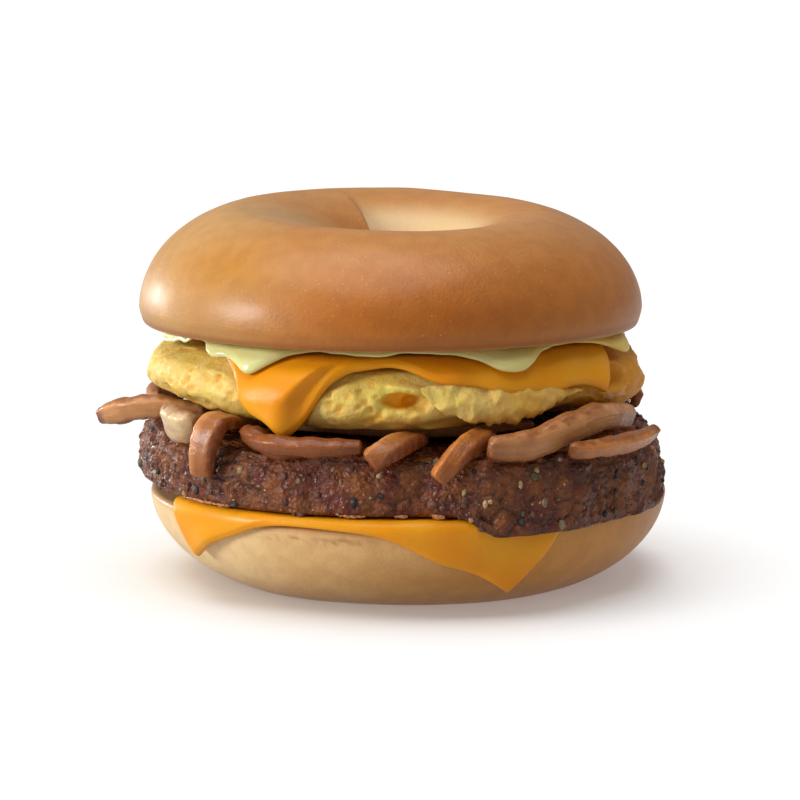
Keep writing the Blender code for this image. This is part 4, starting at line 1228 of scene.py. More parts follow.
class Rim:
    """What a sheet hangs over: a flat top, a rounded shoulder and a wall below it."""

    def __init__(self, middle_x, top, shoulder, wall_radius, reach_at):
        self.middle_x = middle_x
        self.top = top
        self.shoulder = shoulder
        self.wall_radius = wall_radius
        self.reach_at = reach_at
        self.bend_radius = shoulder + CHEESE_LIFT + CHEESE_THICKNESS / 2
        self.bend_length = self.bend_radius * math.pi / 2

    def flat_reach(self, azimuth):
        return self.reach_at(azimuth) - self.shoulder

    def section(self, azimuth, along, lift):
        """Reach and height of a point so far along the sheet and so high above the rim."""
        flat = self.flat_reach(azimuth)
        if along <= flat:
            return along, self.top + lift
        middle_height = self.top - self.shoulder
        if along <= flat + self.bend_length:
            angle = (along - flat) / self.bend_radius
            radius = self.shoulder + lift
            return flat + radius * math.sin(angle), middle_height + radius * math.cos(angle)
        wall_middle = flat + self.shoulder - self.wall_radius
        angle = (along - flat - self.bend_length) / (self.wall_radius + lift)
        radius = self.wall_radius + lift
        return wall_middle + radius * math.cos(angle), middle_height - radius * math.sin(angle)

    def hang(self, azimuth, reach, lift, corner=None, corner_width=1.0):
        """Azimuth, reach and height of a point of the sheet, with its corners as flat flaps."""
        flat = self.flat_reach(azimuth)
        along = reach
        if corner is not None and reach > flat:
            turn = turn_between(azimuth, corner)
            aside = reach * sine(turn)
            beyond = reach * cosine(turn) - math.sqrt(max(flat * flat - aside * aside, 1.0))
            flap_turn = math.degrees(math.asin(min(max(aside / flat, -1.0), 1.0)))
            share = math.cos(min(abs(turn) / corner_width, 1.0) * math.pi / 2) ** 2
            along = between(reach, flat + beyond, share)
            azimuth = azimuth + between(0.0, flap_turn - turn, share)
        across, height = self.section(azimuth, along, lift)
        return azimuth, across, height


def egg_reach(azimuth):
    return EGG_REACH + EGG_WIDER_AT_SIDES * cosine(azimuth) ** 2


BAGEL_RIM = Rim(LOWER_X, LOWER_CUT, 0.0, LOWER_CHEESE_WALL_RADIUS, lambda azimuth: LOWER_REACH)
EGG_RIM = Rim(EGG_X, EGG_TOP, EGG_SHOULDER, EGG_WALL_RADIUS, egg_reach)


def slice_reach(azimuth, corners, stretches):
    """Distance of the slice's edge from the middle at this azimuth, measured over the bend."""
    nearest, fade = 0.0, 0.0
    for index, (start, start_reach) in enumerate(corners):
        end, end_reach = corners[(index + 1) % len(corners)]
        width = (end - start) % 360.0
        turn = (azimuth - start) % 360.0
        if turn <= width:
            ax, ay = start_reach, 0.0
            bx, by = end_reach * cosine(width), end_reach * sine(width)
            cross = (bx - ax) * sine(turn) - (by - ay) * cosine(turn)
            nearest = (ay * (bx - ax) - ax * (by - ay)) / cross
            fade = math.sin(math.pi * turn / width)
            break
    stretch = sum(amount * bump_at(azimuth, middle, spread) for middle, spread, amount in stretches)
    return nearest + stretch * min(1.0, 2.0 * fade)


def slice_azimuths(corners):
    found = []
    for index, (start, _) in enumerate(corners):
        width = (corners[(index + 1) % len(corners)][0] - start) % 360.0
        count = math.ceil(width / CHEESE_RAY_SPACING)
        found += [start + width * step / count for step in range(count)]
    return found


def nearest_corner(azimuth, corners):
    """The azimuth of the nearest corner, and the angle from there to the middle of that side."""
    distances = sorted((abs(turn_between(azimuth, corner)), corner) for corner, _ in corners)
    half_way = (distances[0][0] + distances[1][0]) / 2
    return distances[0][1] % 360.0, half_way


def sheet_wave(azimuth, along, length, seed):
    return wave(place(0.0, azimuth, along, 0.0), length, seed)


def sheet_stations(flat, reach):
    """Distances from the middle of a sheet's rings, close together where it bends and hangs."""
    start = min(flat - 1.0, reach - 4.0)
    shares = [step / SHEET_STEPS_HUNG for step in range(SHEET_STEPS_HUNG + 1)]
    inner = [start * (step / SHEET_STEPS_FLAT) ** 0.5 for step in range(1, SHEET_STEPS_FLAT)]
    return inner + [between(start, reach - 0.25, share) for share in shares]


def make_sheet_mesh(name, rim, azimuths, reach_at, bottom_at, thickness_at, corners, fold_at):
    """A sheet with its underside bottom_at above the rim, rounded along its edge."""

    def point_at(azimuth, along, lift, corner, half_way):
        turned, across, height = rim.hang(azimuth, along, lift, corner, half_way)
        return place(rim.middle_x, turned, across + fold_at(turned, height), height)

    columns = []
    for azimuth in azimuths:
        reach = reach_at(azimuth)
        corner = (None, 1.0) if corners is None else nearest_corner(azimuth, corners)
        below, above = [], []
        for along in sheet_stations(rim.flat_reach(azimuth), reach):
            low, thick = bottom_at(azimuth, along), thickness_at(azimuth, along)
            edge = ramp(along, reach - SHEET_EDGE, reach)
            below.append(point_at(azimuth, along, low + 0.18 * thick * edge, *corner))
            above.append(point_at(azimuth, along, low + thick * (1.0 - 0.25 * edge), *corner))
        low, thick = bottom_at(azimuth, reach), thickness_at(azimuth, reach)
        tips = [point_at(azimuth, reach, low + share * thick, *corner) for share in (0.3, 0.6)]
        columns.append(below + tips + above[::-1])
    bottom = bottom_at(0.0, 0.0)
    ends = ends_at(rim.middle_x, rim.top + bottom, rim.top + (bottom + thickness_at(0.0, 0.0)))
    return mesh_of_rings(name, list(zip(*columns)), ends)


def lower_fold(azimuth, height):
    """How far out the soft facets of the slice that hangs over the bagel stand."""
    hung = ramp(height, 17.5, 13.0)
    crease = 0.5 * bump_at(azimuth, 289.0 + 1.2 * (height - 8.0), 5.0)
    crease -= 0.35 * bump_at(azimuth, 279.0, 5.0)
    crease += 0.45 * bump_at(azimuth, 224.0, 3.5) - 0.3 * bump_at(azimuth, 218.0, 3.0)
    flutter = 0.35 * wave((azimuth / 9.0, height / 7.0, 0.0), 1.0, 61.0)
    return hung * max(crease + flutter, -0.15)


def upper_fold(azimuth, height):
    """How far out the sharp fold at the front corner and the soft ones on its right stand."""
    turn = turn_between(azimuth, value_on(UPPER_CHEESE_RIDGE, height))
    off_crest = turn / 3.4 if turn > 0.0 else turn / 14.0
    crest = max(1.07 - math.hypot(off_crest, 0.07), 0.0)
    hung = ramp(height, 51.8, 48.4)
    ridge = 2.7 * crest * hung * ramp(height, 33.0, 37.0)
    right = 0.8 * bump_at(azimuth, 316.0, 4.0) * bump(height, 49.8, 1.6)
    right += 0.5 * bump_at(azimuth, 325.0, 2.6) * hung
    waves = 0.35 * wave((azimuth / 8.0, height / 9.0, 0.0), 1.0, 67.0) * hung
    return ridge + right + max(waves, -0.1)


def make_slice_mesh(name, rim, corners, stretches, thickness, fold_at):
    def thickness_at(azimuth, along):
        hung = ramp(along, rim.flat_reach(azimuth) + 3.0, rim.flat_reach(azimuth) + 7.0)
        return thickness + 0.25 * hung * sheet_wave(azimuth, along, 6.0, 71.0)

    mesh = make_sheet_mesh(
        name, rim, slice_azimuths(corners),
        lambda azimuth: slice_reach(azimuth, corners, stretches),
        lambda azimuth, along: CHEESE_LIFT, thickness_at, corners, fold_at,
    )
    paint(mesh, "edge", [0.25 + 0.5 * wave(point, 9.0, 73.0) for point in points_of(mesh)])
    return mesh


def sauce_reach(azimuth):
    edge = SAUCE_REACH + EGG_WIDER_AT_SIDES * cosine(azimuth) ** 2
    for middle, width, length in SAUCE_DRIPS:
        edge += length * bump_at(azimuth, middle, width)
    edge += 0.5 * sheet_wave(azimuth, 40.0, 9.0, 5.0)
    return edge + 0.45 * sheet_wave(azimuth, 40.0, 3.0, 15.0)


def sauce_bottom(azimuth, along):
    """The sauce lies on the cheese, and past the slice's edge it sinks onto the egg's shoulder."""
    near = [azimuth + SAUCE_SINK_CLEARANCE * step for step in (-1.0, -0.5, 0.0, 0.5, 1.0)]
    edge = max(slice_reach(at, UPPER_CHEESE_CORNERS, UPPER_CHEESE_STRETCHES) for at in near)
    start = max(edge + SAUCE_SINK_START, EGG_RIM.flat_reach(azimuth))
    return between(SAUCE_LIFT, SAUCE_LOWEST_LIFT, ramp(along, start, start + 4.0))


def sauce_thickness(azimuth, along):
    """Thin under the bagel, and thicker in the drips that hang over the shoulder."""
    flat = EGG_RIM.flat_reach(azimuth)
    drip = min(max(sauce_reach(azimuth) - flat - 3.0, 0.0) / 4.0, 1.0)
    lumps = 0.35 * sheet_wave(azimuth, along, 4.0, 19.0) * ramp(along, flat + 1.0, flat + 4.0)
    return SAUCE_THICKNESS + (SAUCE_BEAD * drip + lumps) * ramp(along, flat, flat + 4.0)


# Steak patty


def patty_lip(azimuth):
    """How far the rim hangs down over the bagel, from 0 to 1."""
    turn = (azimuth - FRONT) % 360.0
    return ramp(turn, 10.0, 20.0) * ramp(turn, 82.0, 68.0)


def patty_reach(azimuth):
    turn = (azimuth - FRONT) % 360.0
    over_cheese = ramp(turn, 4.0, 13.0) * ramp(turn, 46.0, 36.0)
    widening = 0.8 * bump_at(azimuth, 235.0, 25.0) + 0.6 * bump_at(azimuth, LEFT, 35.0)
    return PATTY_REACH + 2.7 * patty_lip(azimuth) + 1.9 * over_cheese + widening


def patty_section(azimuth):
    """Reach and height of points from under the patty, round its side, to its top."""
    lip = patty_lip(azimuth)
    reach = patty_reach(azimuth)
    drop = PATTY_LIP_BOTTOM - PATTY_BOTTOM
    tight = ((-8.0, 0.0), (-3.4, 0.0), (-1.6, 0.05), (-0.7, 0.4), (-0.2, 1.2))
    hanging = ((-8.0, 0.0), (-4.5, 0.1), (-2.5, -0.2), (-1.4, -1.7), (-0.6, drop))
    points = []
    for (tight_in, tight_up), (hung_in, hung_up) in zip(tight, hanging):
        rise = between(tight_up, hung_up, lip)
        points.append(Vector((reach + between(tight_in, hung_in, lip), PATTY_BOTTOM + rise)))
    low_side = between(PATTY_BOTTOM + 3.2, PATTY_LIP_BOTTOM + 2.6, lip)
    bulge_height = between(low_side, PATTY_SHOULDER[0][1], 0.5)
    side = [(reach, low_side), (reach + PATTY_BULGE, bulge_height)]
    side += [(reach - inset, height) for inset, height in PATTY_SHOULDER]
    side.append((reach * 0.55, PATTY_TOP))
    return points + [Vector(point) for point in side]


def patty_crag(point):
    coarse = wave(point, PATTY_CRAG_LENGTH, 17.0)
    fine = wave(point, PATTY_CRAG_LENGTH / 2.4, 23.0)
    return PATTY_CRAGS * (coarse + 0.5 * fine)


def patty_top_at(azimuth, reach):
    """Height of the patty's upper side at a distance from its middle."""
    edge = patty_reach(azimuth)
    shoulder = [(edge - inset, height) for inset, height in reversed(PATTY_SHOULDER)]
    shoulder.append((edge + PATTY_BULGE, PATTY_BULGE_HEIGHT))
    if reach <= shoulder[0][0]:
        return PATTY_TOP
    for (inner, high), (outer, low) in zip(shoulder, shoulder[1:]):
        if reach <= outer:
            return between(high, low, (reach - inner) / (outer - inner))
    return 0.0


def patty_side_at(azimuth, height):
    """Distance of the patty's side from its middle at a height."""
    edge = patty_reach(azimuth)
    rim, bend, flat = PATTY_SHOULDER
    for (outer, low), (inner, high) in ((bend, flat), (rim, bend)):
        if height > low:
            return between(edge - outer, edge - inner, (height - low) / (high - low))
    return edge + PATTY_BULGE


def patty_relief(point, crumble):
    """How far rounded crumbles stand out, and how much painted shade the point gets between them.
    """
    lump, small = cells(point, 4.2, 5.0), cells(point, 1.9, 9.0)
    rough = between(0.5, 1.0, ramp(wave(point, 12.0, 87.0), -0.3, 0.3))
    detail = crumble * rough * (0.5 - 0.9 * lump**2 - 0.55 * small**2)
    detail += 0.2 * wave(point, 0.9, 37.0)
    return detail, rough * max(lump, 0.8 * small) ** 3


def make_patty_mesh(crumble):
    """Minced meat: coarse crags, rounded crumbles and the grooves between them."""
    columns, grooves = [], []
    for azimuth in evenly(PATTY_STEPS_AROUND):
        section = patty_section(azimuth)
        column = []
        for station in range(PATTY_STEPS_ALONG + 1):
            share = (station / PATTY_STEPS_ALONG) ** 0.9
            reach, height = on_curve(section, share)
            point = place(PATTY_X, azimuth, reach, height)
            side = ramp(share, 0.2, 0.4)
            crag = patty_crag(point)
            detail, groove = patty_relief(point, crumble)
            if height > PATTY_TOP - 0.5:
                point.z += 0.4 * crag + min(detail, 0.1)
            else:
                outward = side * (crag + 0.8 * detail)
                if station < 0.45 * PATTY_STEPS_ALONG:
                    outward = max(outward, -0.2)
                point = place(PATTY_X, azimuth, reach + outward, height + 0.3 * side * detail)
            column.append(point)
            grooves.append(side * groove)
        columns.append(column)
    ends = ends_at(PATTY_X, PATTY_BOTTOM, PATTY_TOP)
    mesh = mesh_of_rings("steak_patty", list(zip(*columns)), ends)
    # Painted shade in the grooves between the crumbles.
    paint(mesh, "groove", 0.75 * in_ring_order(grooves, len(columns)))
    seasoned = []
    for point in points_of(mesh):
        _, reach, height = seen_from(PATTY_X, point)
        rim = ramp(reach, 48.0, 52.0) * ramp(height, 18.0, 19.5)
        seasoned.append(rim * between(0.3, 1.0, ramp(wave(point, 9.0, 83.0), -0.35, 0.35)))
    paint(mesh, "seasoned", seasoned)
    return mesh


def make_juice_mesh(tree, material):
    """Beads of set juice along the patty's lower edge, in each stretch where it has run out."""
    beads = []
    for start, end, size in JUICE_BEADS:
        azimuths = [between(start, end, step / 6) for step in range(7)]
        route = [(at, patty_reach(at) - 0.25, PATTY_BOTTOM + 0.35) for at in azimuths]
        beads.append(
            run_tree(
                tree, strip_line(route, 0.0), Width=size, Thickness=0.55, Cupping=0.1, Ridge=0.0,
                Unevenness=0.5, Unevenness_Size=1.3, Seed=start, Material=material,
            )
        )
    return joined("set_juice", beads)


# Folded egg


def egg_underside(azimuth, reach):
    """Height of the lowest point of the egg's rim, which the onions lift here and there."""
    rise = sum(high * bump_at(azimuth, at, width) for at, width, high in EGG_UNDERSIDE_RISES)
    return EGG_BOTTOM + rise * ramp(reach, 30.0, 42.0)


def egg_side(azimuth, angle):
    """Reach and height on the rounded side, from -90 under it to 90 on its top, and the share of
    painted shade in its pockets.
    """
    shoulder_reach = EGG_RIM.flat_reach(azimuth)
    middle = EGG_TOP - EGG_SHOULDER
    depth = EGG_SHOULDER if angle > 0 else middle - egg_underside(azimuth, egg_reach(azimuth))
    reach = shoulder_reach + EGG_SHOULDER * max(cosine(angle), 0.0) ** 0.85
    height = middle + depth * sine(angle)
    hollow = 0.0
    for at, width, form_height, tall, push, steep in EGG_FORMS:
        if abs(turn_between(azimuth, at)) < 3.0 * width:
            apart = math.hypot(turn_between(azimuth, at) / width, (height - form_height) / tall)
            amount = math.exp(-(apart**steep))
            reach += push * amount
            # The deeper and steeper a pocket, the more painted shade it gets.
            hollow = max(hollow, min(-push * amount * steep**2 / EGG_FULL_HOLLOW, 1.0))
    return reach, height, hollow


def make_pores(count, seed):
    """Random pores in the egg's side: azimuth, height, radius and depth."""
    draw = random.Random(seed)
    ranges = ((0.0, 360.0), PORE_HEIGHTS, PORE_RADII, PORE_DEPTHS)
    return [[draw.uniform(*limits) for limits in ranges] for _ in range(count)]


def make_egg_mesh(pore_count):
    pores = np.array(make_pores(pore_count, 5))
    columns, hollow_shades = [], []
    for azimuth in evenly(EGG_STEPS_AROUND):
        inner = EGG_RIM.flat_reach(azimuth)
        cheese_edge = slice_reach(azimuth, UPPER_CHEESE_CORNERS, UPPER_CHEESE_STRETCHES)
        cheese_low = EGG_RIM.section(azimuth, cheese_edge, 0.0)[1]
        near = pores[np.abs(turn_between(azimuth, pores[:, 0])) < 2.5]
        column = []
        for reach in (0.4 * inner, 0.7 * inner, 0.9 * inner):
            column.append(place(EGG_X, azimuth, reach, egg_underside(azimuth, reach)))
            hollow_shades.append(0.0)
        for station in range(EGG_STEPS_ALONG + 1):
            angle = between(-90.0, 90.0, station / EGG_STEPS_ALONG)
            reach, height, hollow = egg_side(azimuth, angle)
            point = place(EGG_X, azimuth, reach, height)
            facing = max(cosine(angle), 0.0) ** 0.5
            uneven = 0.8 * wave(point, 13.0, 29.0) + 0.75 * wave(point, 4.6, 31.0)
            uneven += 0.28 * wave(point, 1.9, 33.0) + 0.1 * wave(point, 0.8, 35.0)
            for at, high, size, deep in near:
                aside = math.radians(turn_between(azimuth, at)) * reach
                pit = math.exp(-((aside**2 + (height - high) ** 2) / size**2) ** 1.5)
                uneven -= deep * pit
                # Painted shade in the pore.
                hollow = max(hollow, 0.45 * pit)
            covered = ramp(height, cheese_low - 2.0, cheese_low - 0.6)
            limit = inner + EGG_SHOULDER * max(cosine(angle), 0.0) - EGG_UNDER_COVER
            moved = reach + uneven * facing
            reach = between(moved, min(moved, limit), covered)
            rise = 0.5 * wave(point, 3.4, 39.0) * ramp(angle, -20.0, -60.0)
            rise *= ramp(angle, -90.0, -70.0)
            if angle > 0:
                height -= EGG_UNDER_COVER * sine(angle)
            column.append(place(EGG_X, azimuth, reach, height + rise))
            hollow_shades.append(hollow)
        columns.append(column)
    ends = ends_at(EGG_X, EGG_BOTTOM, EGG_TOP - EGG_UNDER_COVER)
    mesh = mesh_of_rings("egg", list(zip(*columns)), ends)
    paint_egg(mesh, in_ring_order(hollow_shades, len(columns)))
    return mesh


def shaded_side(azimuth):
    """How much painted shade deepens the colours, from 0 at the left to 1 at the right, the side
    away from the key light.
    """
    turn = turn_between(azimuth, FRONT)
    return ramp(turn, 0.0, 72.0) * ramp(turn, 170.0, 95.0)


def paint_egg(mesh, hollow):
    green, fried, warm = [], [], []
    for point in points_of(mesh):
        azimuth, _, height = seen_from(EGG_X, point)
        patches = ramp(wave(point, 6.0, 91.0), 0.0, 0.5)
        near_fold = bump_at(azimuth, 268.0, 9.0) * bump(height, 44.5, 5.0)
        green.append(0.75 * near_fold + 0.4 * patches)
        lace = ramp(wave(point, 2.2, 93.0) + 0.5 * wave(point, 0.9, 95.0), 0.05, 0.55)
        low = ramp(height, 40.5, 38.2)
        # Painted shade: deeper yellow towards the right side and over the lower half, which faces
        # down.
        warm.append(shaded_side(azimuth) + 0.35 * ramp(height, 42.5, 37.5))
        upper = 0.25 * bump_at(azimuth, 293.0, 14.0) * lace * ramp(height, 43.5, 46.0)
        fried.append(0.6 * low * lace + upper)
    paint(mesh, "hollow", hollow)
    paint(mesh, "warm", warm)
    paint(mesh, "green", green)
    paint(mesh, "fried", fried)


def make_flap_mesh():
    """The loose flap at the front, with a torn lower edge, lying over the egg's side."""
    rings = []
    for column in range(EGG_FLAP_STEPS_ALONG + 1):
        share = column / EGG_FLAP_STEPS_ALONG
        azimuth = between(EGG_FLAP_UPPER[0][0], EGG_FLAP_UPPER[-1][0], share)
        top, low = value_on(EGG_FLAP_UPPER, azimuth), value_on(EGG_FLAP_LOWER, azimuth)
        torn = (azimuth, 0.0, 0.0)
        low += 0.7 * wave(torn, 2.3, 101.0) + 0.45 * wave(torn, 0.9, 103.0)
        body = math.sin(math.pi * share) ** 0.35
        thick = EGG_FLAP_THICKNESS * body * (0.6 + 0.4 * math.sin(math.pi * share))
        ring = []
        for angle in evenly(EGG_FLAP_STEPS_AROUND):
            height = (top + low) / 2 + (top - low) / 2 * sine(angle) * body
            reach = egg_reach(azimuth) + 0.1 + 0.9 * ramp(height, top, low)
            reach += -1.7 * ramp(height, 43.5, 47.5)
            reach += thick * cosine(angle)
            point = place(EGG_X, azimuth, reach, height)
            crags = 0.8 - 2.2 * abs(wave(point, 4.6, 107.0))
            push = 0.9 * crags + 0.4 * wave(point, 1.8, 109.0) + 0.14 * wave(point, 0.8, 111.0)
            ring.append(place(EGG_X, azimuth, reach + push * body, height + 0.4 * push * body))
        rings.append(ring)
    ends = [sum(ring, Vector()) / len(ring) for ring in (rings[0], rings[-1])]
    mesh = mesh_of_rings("egg_flap", rings, ends)
    paint_egg(mesh, np.zeros(len(mesh.vertices)))
    return mesh


# Onion strips


def clear_of_egg(point):
    """Moves a point down until it is clear of the egg's underside."""
    azimuth, reach, height = seen_from(EGG_X, point)
    shoulder_reach = EGG_RIM.flat_reach(azimuth)
    if reach > shoulder_reach + EGG_SHOULDER + 1.5 or height > 46.0:
        return point
    under = egg_underside(azimuth, reach)
    if reach > shoulder_reach:
        share = min((reach - shoulder_reach) / (EGG_SHOULDER + 1.5), 1.0)
        under += (EGG_TOP - EGG_SHOULDER - under) * (1.0 - math.sqrt(1.0 - share * share))
    return Vector((point[0], point[1], min(height, under - ONION_GAP)))


def clear_of_patty(point):
    """Moves a point up or out, whichever is nearer, until it is clear of the patty."""
    azimuth, reach, height = seen_from(PATTY_X, point)
    top = patty_top_at(azimuth, reach) + ONION_GAP
    side = patty_side_at(azimuth, height) + ONION_GAP + 0.3
    if height >= top or reach >= side:
        return point
    if top - height < side - reach:
        return Vector((point[0], point[1], top))
    return place(PATTY_X, azimuth, side, height)


def line_mesh(points, broads, thins, tapers):
    """A line of points that carries the directions and taper that the strip tree reads."""
    mesh = bpy.data.meshes.new("line")
    edges = [(at, at + 1) for at in range(len(points) - 1)]
    mesh.from_pydata([tuple(point) for point in points], edges, [])
    for name, values in (("broad", broads), ("thin", thins)):
        layer = mesh.attributes.new(name, "FLOAT_VECTOR", "POINT")
        layer.data.foreach_set("vector", np.array([tuple(value) for value in values]).ravel())
    layer = mesh.attributes.new("taper", "FLOAT", "POINT")
    layer.data.foreach_set("value", np.array(tapers))
    return mesh


def strip_line(route, lean):
    """The line that a strip follows, with the directions of its section at each station."""
    points = [place(PATTY_X, *at) for at in route]
    up = Vector((0.0, 0.0, 1.0))
    middles, broads, thins, tapers = [], [], [], []
    for station in range(ONION_STATIONS):
        share = station / (ONION_STATIONS - 1)
        middle = on_curve(points, share)
        ahead = on_curve(points, min(share + 0.02, 1.0))
        behind = on_curve(points, max(share - 0.02, 0.0))
        along = (ahead - behind).normalized()
        outward = Vector((middle.x - PATTY_X, middle.y, 0.0)).normalized()
        broad = up.cross(outward) if lean is ACROSS else up * cosine(lean) + outward * sine(lean)
        broad = (broad - along * broad.dot(along)).normalized()
        inner = min(max(share, ONION_BLUNT_END), 1.0 - ONION_BLUNT_END)
        taper = 0.5 + 0.5 * math.sin(math.pi * inner) ** 0.5
        end = min(share, 1.0 - share) / ONION_BLUNT_END
        taper *= math.sqrt(1.0 - (1.0 - min(end, 1.0)) ** 2)
        middles.append(middle)
        broads.append(broad)
        thins.append(along.cross(broad))
        tapers.append(taper)
    return line_mesh(middles, broads, thins, tapers)


def make_strip_mesh(route, shape, tree, material, settings, seed):
    width, thickness, lean, browned_start, browned_end, pale = shape
    mesh = run_tree(
        tree, strip_line(route, lean), Width=width, Thickness=thickness,
        Cupping=settings.cupping * MILLIMETRES, Ridge=settings.ridge * MILLIMETRES,
        Ridge_Side=-0.4 if lean is ACROSS else 0.4, Unevenness=settings.unevenness * MILLIMETRES,
        Seed=float(seed), Material=material,
    )
    move_points(mesh, [clear_of_patty(clear_of_egg(point)) for point in points_of(mesh)])
    along, across = np.zeros(len(mesh.vertices)), np.zeros(len(mesh.vertices))
    mesh.attributes["along"].data.foreach_get("value", along)
    mesh.attributes["across"].data.foreach_get("value", across)
    browned, charred = [], []
    for point, share, side in zip(points_of(mesh), along, across):
        ragged = 0.35 * wave(point, 2.0, 113.0 + seed) + 0.2 * wave(point, 0.8, 117.0)
        near = (browned_start, share + 0.1 * ragged), (browned_end, 1.0 - share + 0.1 * ragged)
        ends = max(brown * ramp(end, 0.2, 0.0) for brown, end in near)
        sideways = side / (width / 2) + 0.5 * ragged
        # Painted shade on the side away from the light: the lower side of a leaning strip, the
        # right side of one laid across.
        side_shade = 0.4 * ramp(sideways, 0.2, -0.6)
        if lean is ACROSS:
            side_shade = 0.6 * ramp(sideways, -0.5, 0.0)
        rim = 0.7 * ramp(abs(sideways), 0.6, 0.95)
        # A pale value below 0 adds painted shade all over the strip.
        browned.append(ends + side_shade + rim + 0.2 * ragged - min(pale, 0.0))
        tips = max(brown * ramp(end, 0.08, 0.0) for brown, end in near)
        charred.append(ramp(tips, 0.35, 0.7))
    paint(mesh, "browned", browned)
    paint(mesh, "charred", charred)
    paint(mesh, "pale", [pale] * len(along))
    paint(mesh, "strip_seed", [0.013 * seed] * len(along))
    paint(mesh, "across_metres", across * METRES + 0.01)
    return mesh


# Settings, operators and panel


def colour_property(name, description, default):
    return FloatVectorProperty(
        name=name, description=description, default=default, subtype="COLOR", size=3, min=0.0,
        max=1.0,
    )


def length_property(name, description, millimetres):
    return FloatProperty(
        name=name, description=description, default=millimetres * METRES, min=0.0, unit="LENGTH",
        precision=5,
    )


def plain_property(name, description, default):
    return FloatProperty(
        name=name, description=description, default=default, min=0.0, unit="NONE"
    )


def count_property(name, description, default):
    return IntProperty(name=name, description=description, default=default, min=1)


class BagelSettings(bpy.types.PropertyGroup):
    toasted_colour: colour_property(
        "Toasted colour", "Crust of the upper half", (0.47, 0.158, 0.024)
    )
    # The soft and pale base tones are partly paler baking and partly painted sheen on the lit left
    # side.
    soft_and_sheen_colour: colour_property(
        "Soft colour", "Paler side of the upper crust", (0.5, 0.265, 0.085)
    )
    base_colour: colour_property("Base colour", "Crust of the lower half", (0.64, 0.28, 0.05))
    base_pale_and_sheen_colour: colour_property(
        "Base pale colour", "Paler side of the lower crust", (0.82, 0.57, 0.28)
    )
    # The deep tone also paints the shade on the crust's right side.
    deep_colour: colour_property("Deep colour", "Darkest brown of the crust", (0.38, 0.1, 0.008))
    golden_colour: colour_property(
        "Golden colour", "Golden patches of the crust", (0.48, 0.2, 0.025)
    )
    blister_colour: colour_property("Blister colour", "Fine pale blisters", (0.66, 0.4, 0.17))
    crumb_colour: colour_property("Crumb colour", "Inside of the bread", (0.66, 0.47, 0.24))
    toast_colour: colour_property("Toast colour", "Browned rim of the cut", (0.3, 0.09, 0.015))
    roughness: FloatProperty(
        name="Roughness", description="How dull the crust is", default=0.36, min=0.0, max=1.0
    )
    unevenness: length_property("Unevenness", "Height of the crust's soft waves", 0.4)
    blisters: length_property("Blisters", "Height of the crust's small blisters", 0.025)
    steps_around: count_property("Steps around", "Faces round each half", 330)


class CheeseSettings(bpy.types.PropertyGroup):
    colour: colour_property("Colour", "Body of the slices", (0.82, 0.3, 0.002))
    deep_colour: colour_property("Deep colour", "Darker patches", (0.78, 0.26, 0.0015))
    edge_colour: colour_property(
        "Edge colour", "Paler tint where the slice is worked", (0.82, 0.4, 0.014)
    )
    stain_colour: colour_property("Stain colour", "Small spots of juice", (0.5, 0.14, 0.01))
    thickness: length_property("Thickness", "Thickness of a slice", CHEESE_THICKNESS)


class PattySettings(bpy.types.PropertyGroup):
    colour: colour_property("Colour", "Body of the meat", (0.14, 0.029, 0.013))
    brown_colour: colour_property("Brown colour", "Fried brown patches", (0.24, 0.07, 0.014))
    light_colour: colour_property("Light colour", "Pale flecks", (0.42, 0.165, 0.075))
    # The char tone also paints the shade in the grooves between crumbles.
    char_colour: colour_property("Char colour", "Seared parts and grooves", (0.022, 0.008, 0.008))
    fat_colour: colour_property("Fat colour", "Set juice under the rim", (0.42, 0.17, 0.07))
    pepper_colour: colour_property("Pepper colour", "Black pepper", (0.016, 0.015, 0.018))
    crumb_colour: colour_property("Crumb colour", "Loose crumbs of meat", (0.17, 0.06, 0.035))
    husk_colour: colour_property("Husk colour", "Inside of cracked pepper", (0.34, 0.24, 0.13))
    green_colour: colour_property("Green pepper colour", "Greenish grains", (0.12, 0.11, 0.05))
    seed_colour: colour_property("Seed colour", "Tan seeds", (0.55, 0.36, 0.16))
    flake_colour: colour_property("Flake colour", "Orange flakes", (0.45, 0.16, 0.06))
    crumble: length_property("Crumble", "Height of the rounded crumbles of meat", 0.85)
    grain_spacing: length_property("Grain spacing", "Least distance between grains", 1.1)
    smallest_grain: length_property("Smallest grain", "Radius of the smallest grain", 0.14)
    largest_grain: length_property("Largest grain", "Radius of the largest grain", 0.95)
    grain_density: plain_property("Grain density", "Grains on a square millimetre", 0.4)
    grain_seed: count_property("Grain seed", "Changes where the grains fall", 4)


class OnionSettings(bpy.types.PropertyGroup):
    colour: colour_property("Colour", "Fried onion", (0.56, 0.2, 0.038))
    pale_colour: colour_property("Pale colour", "Least fried onion", (0.76, 0.57, 0.31))
    # The brown tone also paints the shade on the strips.
    brown_colour: colour_property("Brown colour", "Browned onion", (0.21, 0.052, 0.009))
    char_colour: colour_property("Char colour", "Burnt tips", (0.06, 0.014, 0.008))
    cupping: length_property("Cupping", "How far a strip's edges curl back", 0.5)
    ridge: length_property("Ridge", "Height of the ridge along a strip's outer face", 0.45)
    unevenness: length_property("Unevenness", "Height of a strip's soft waves", 0.22)


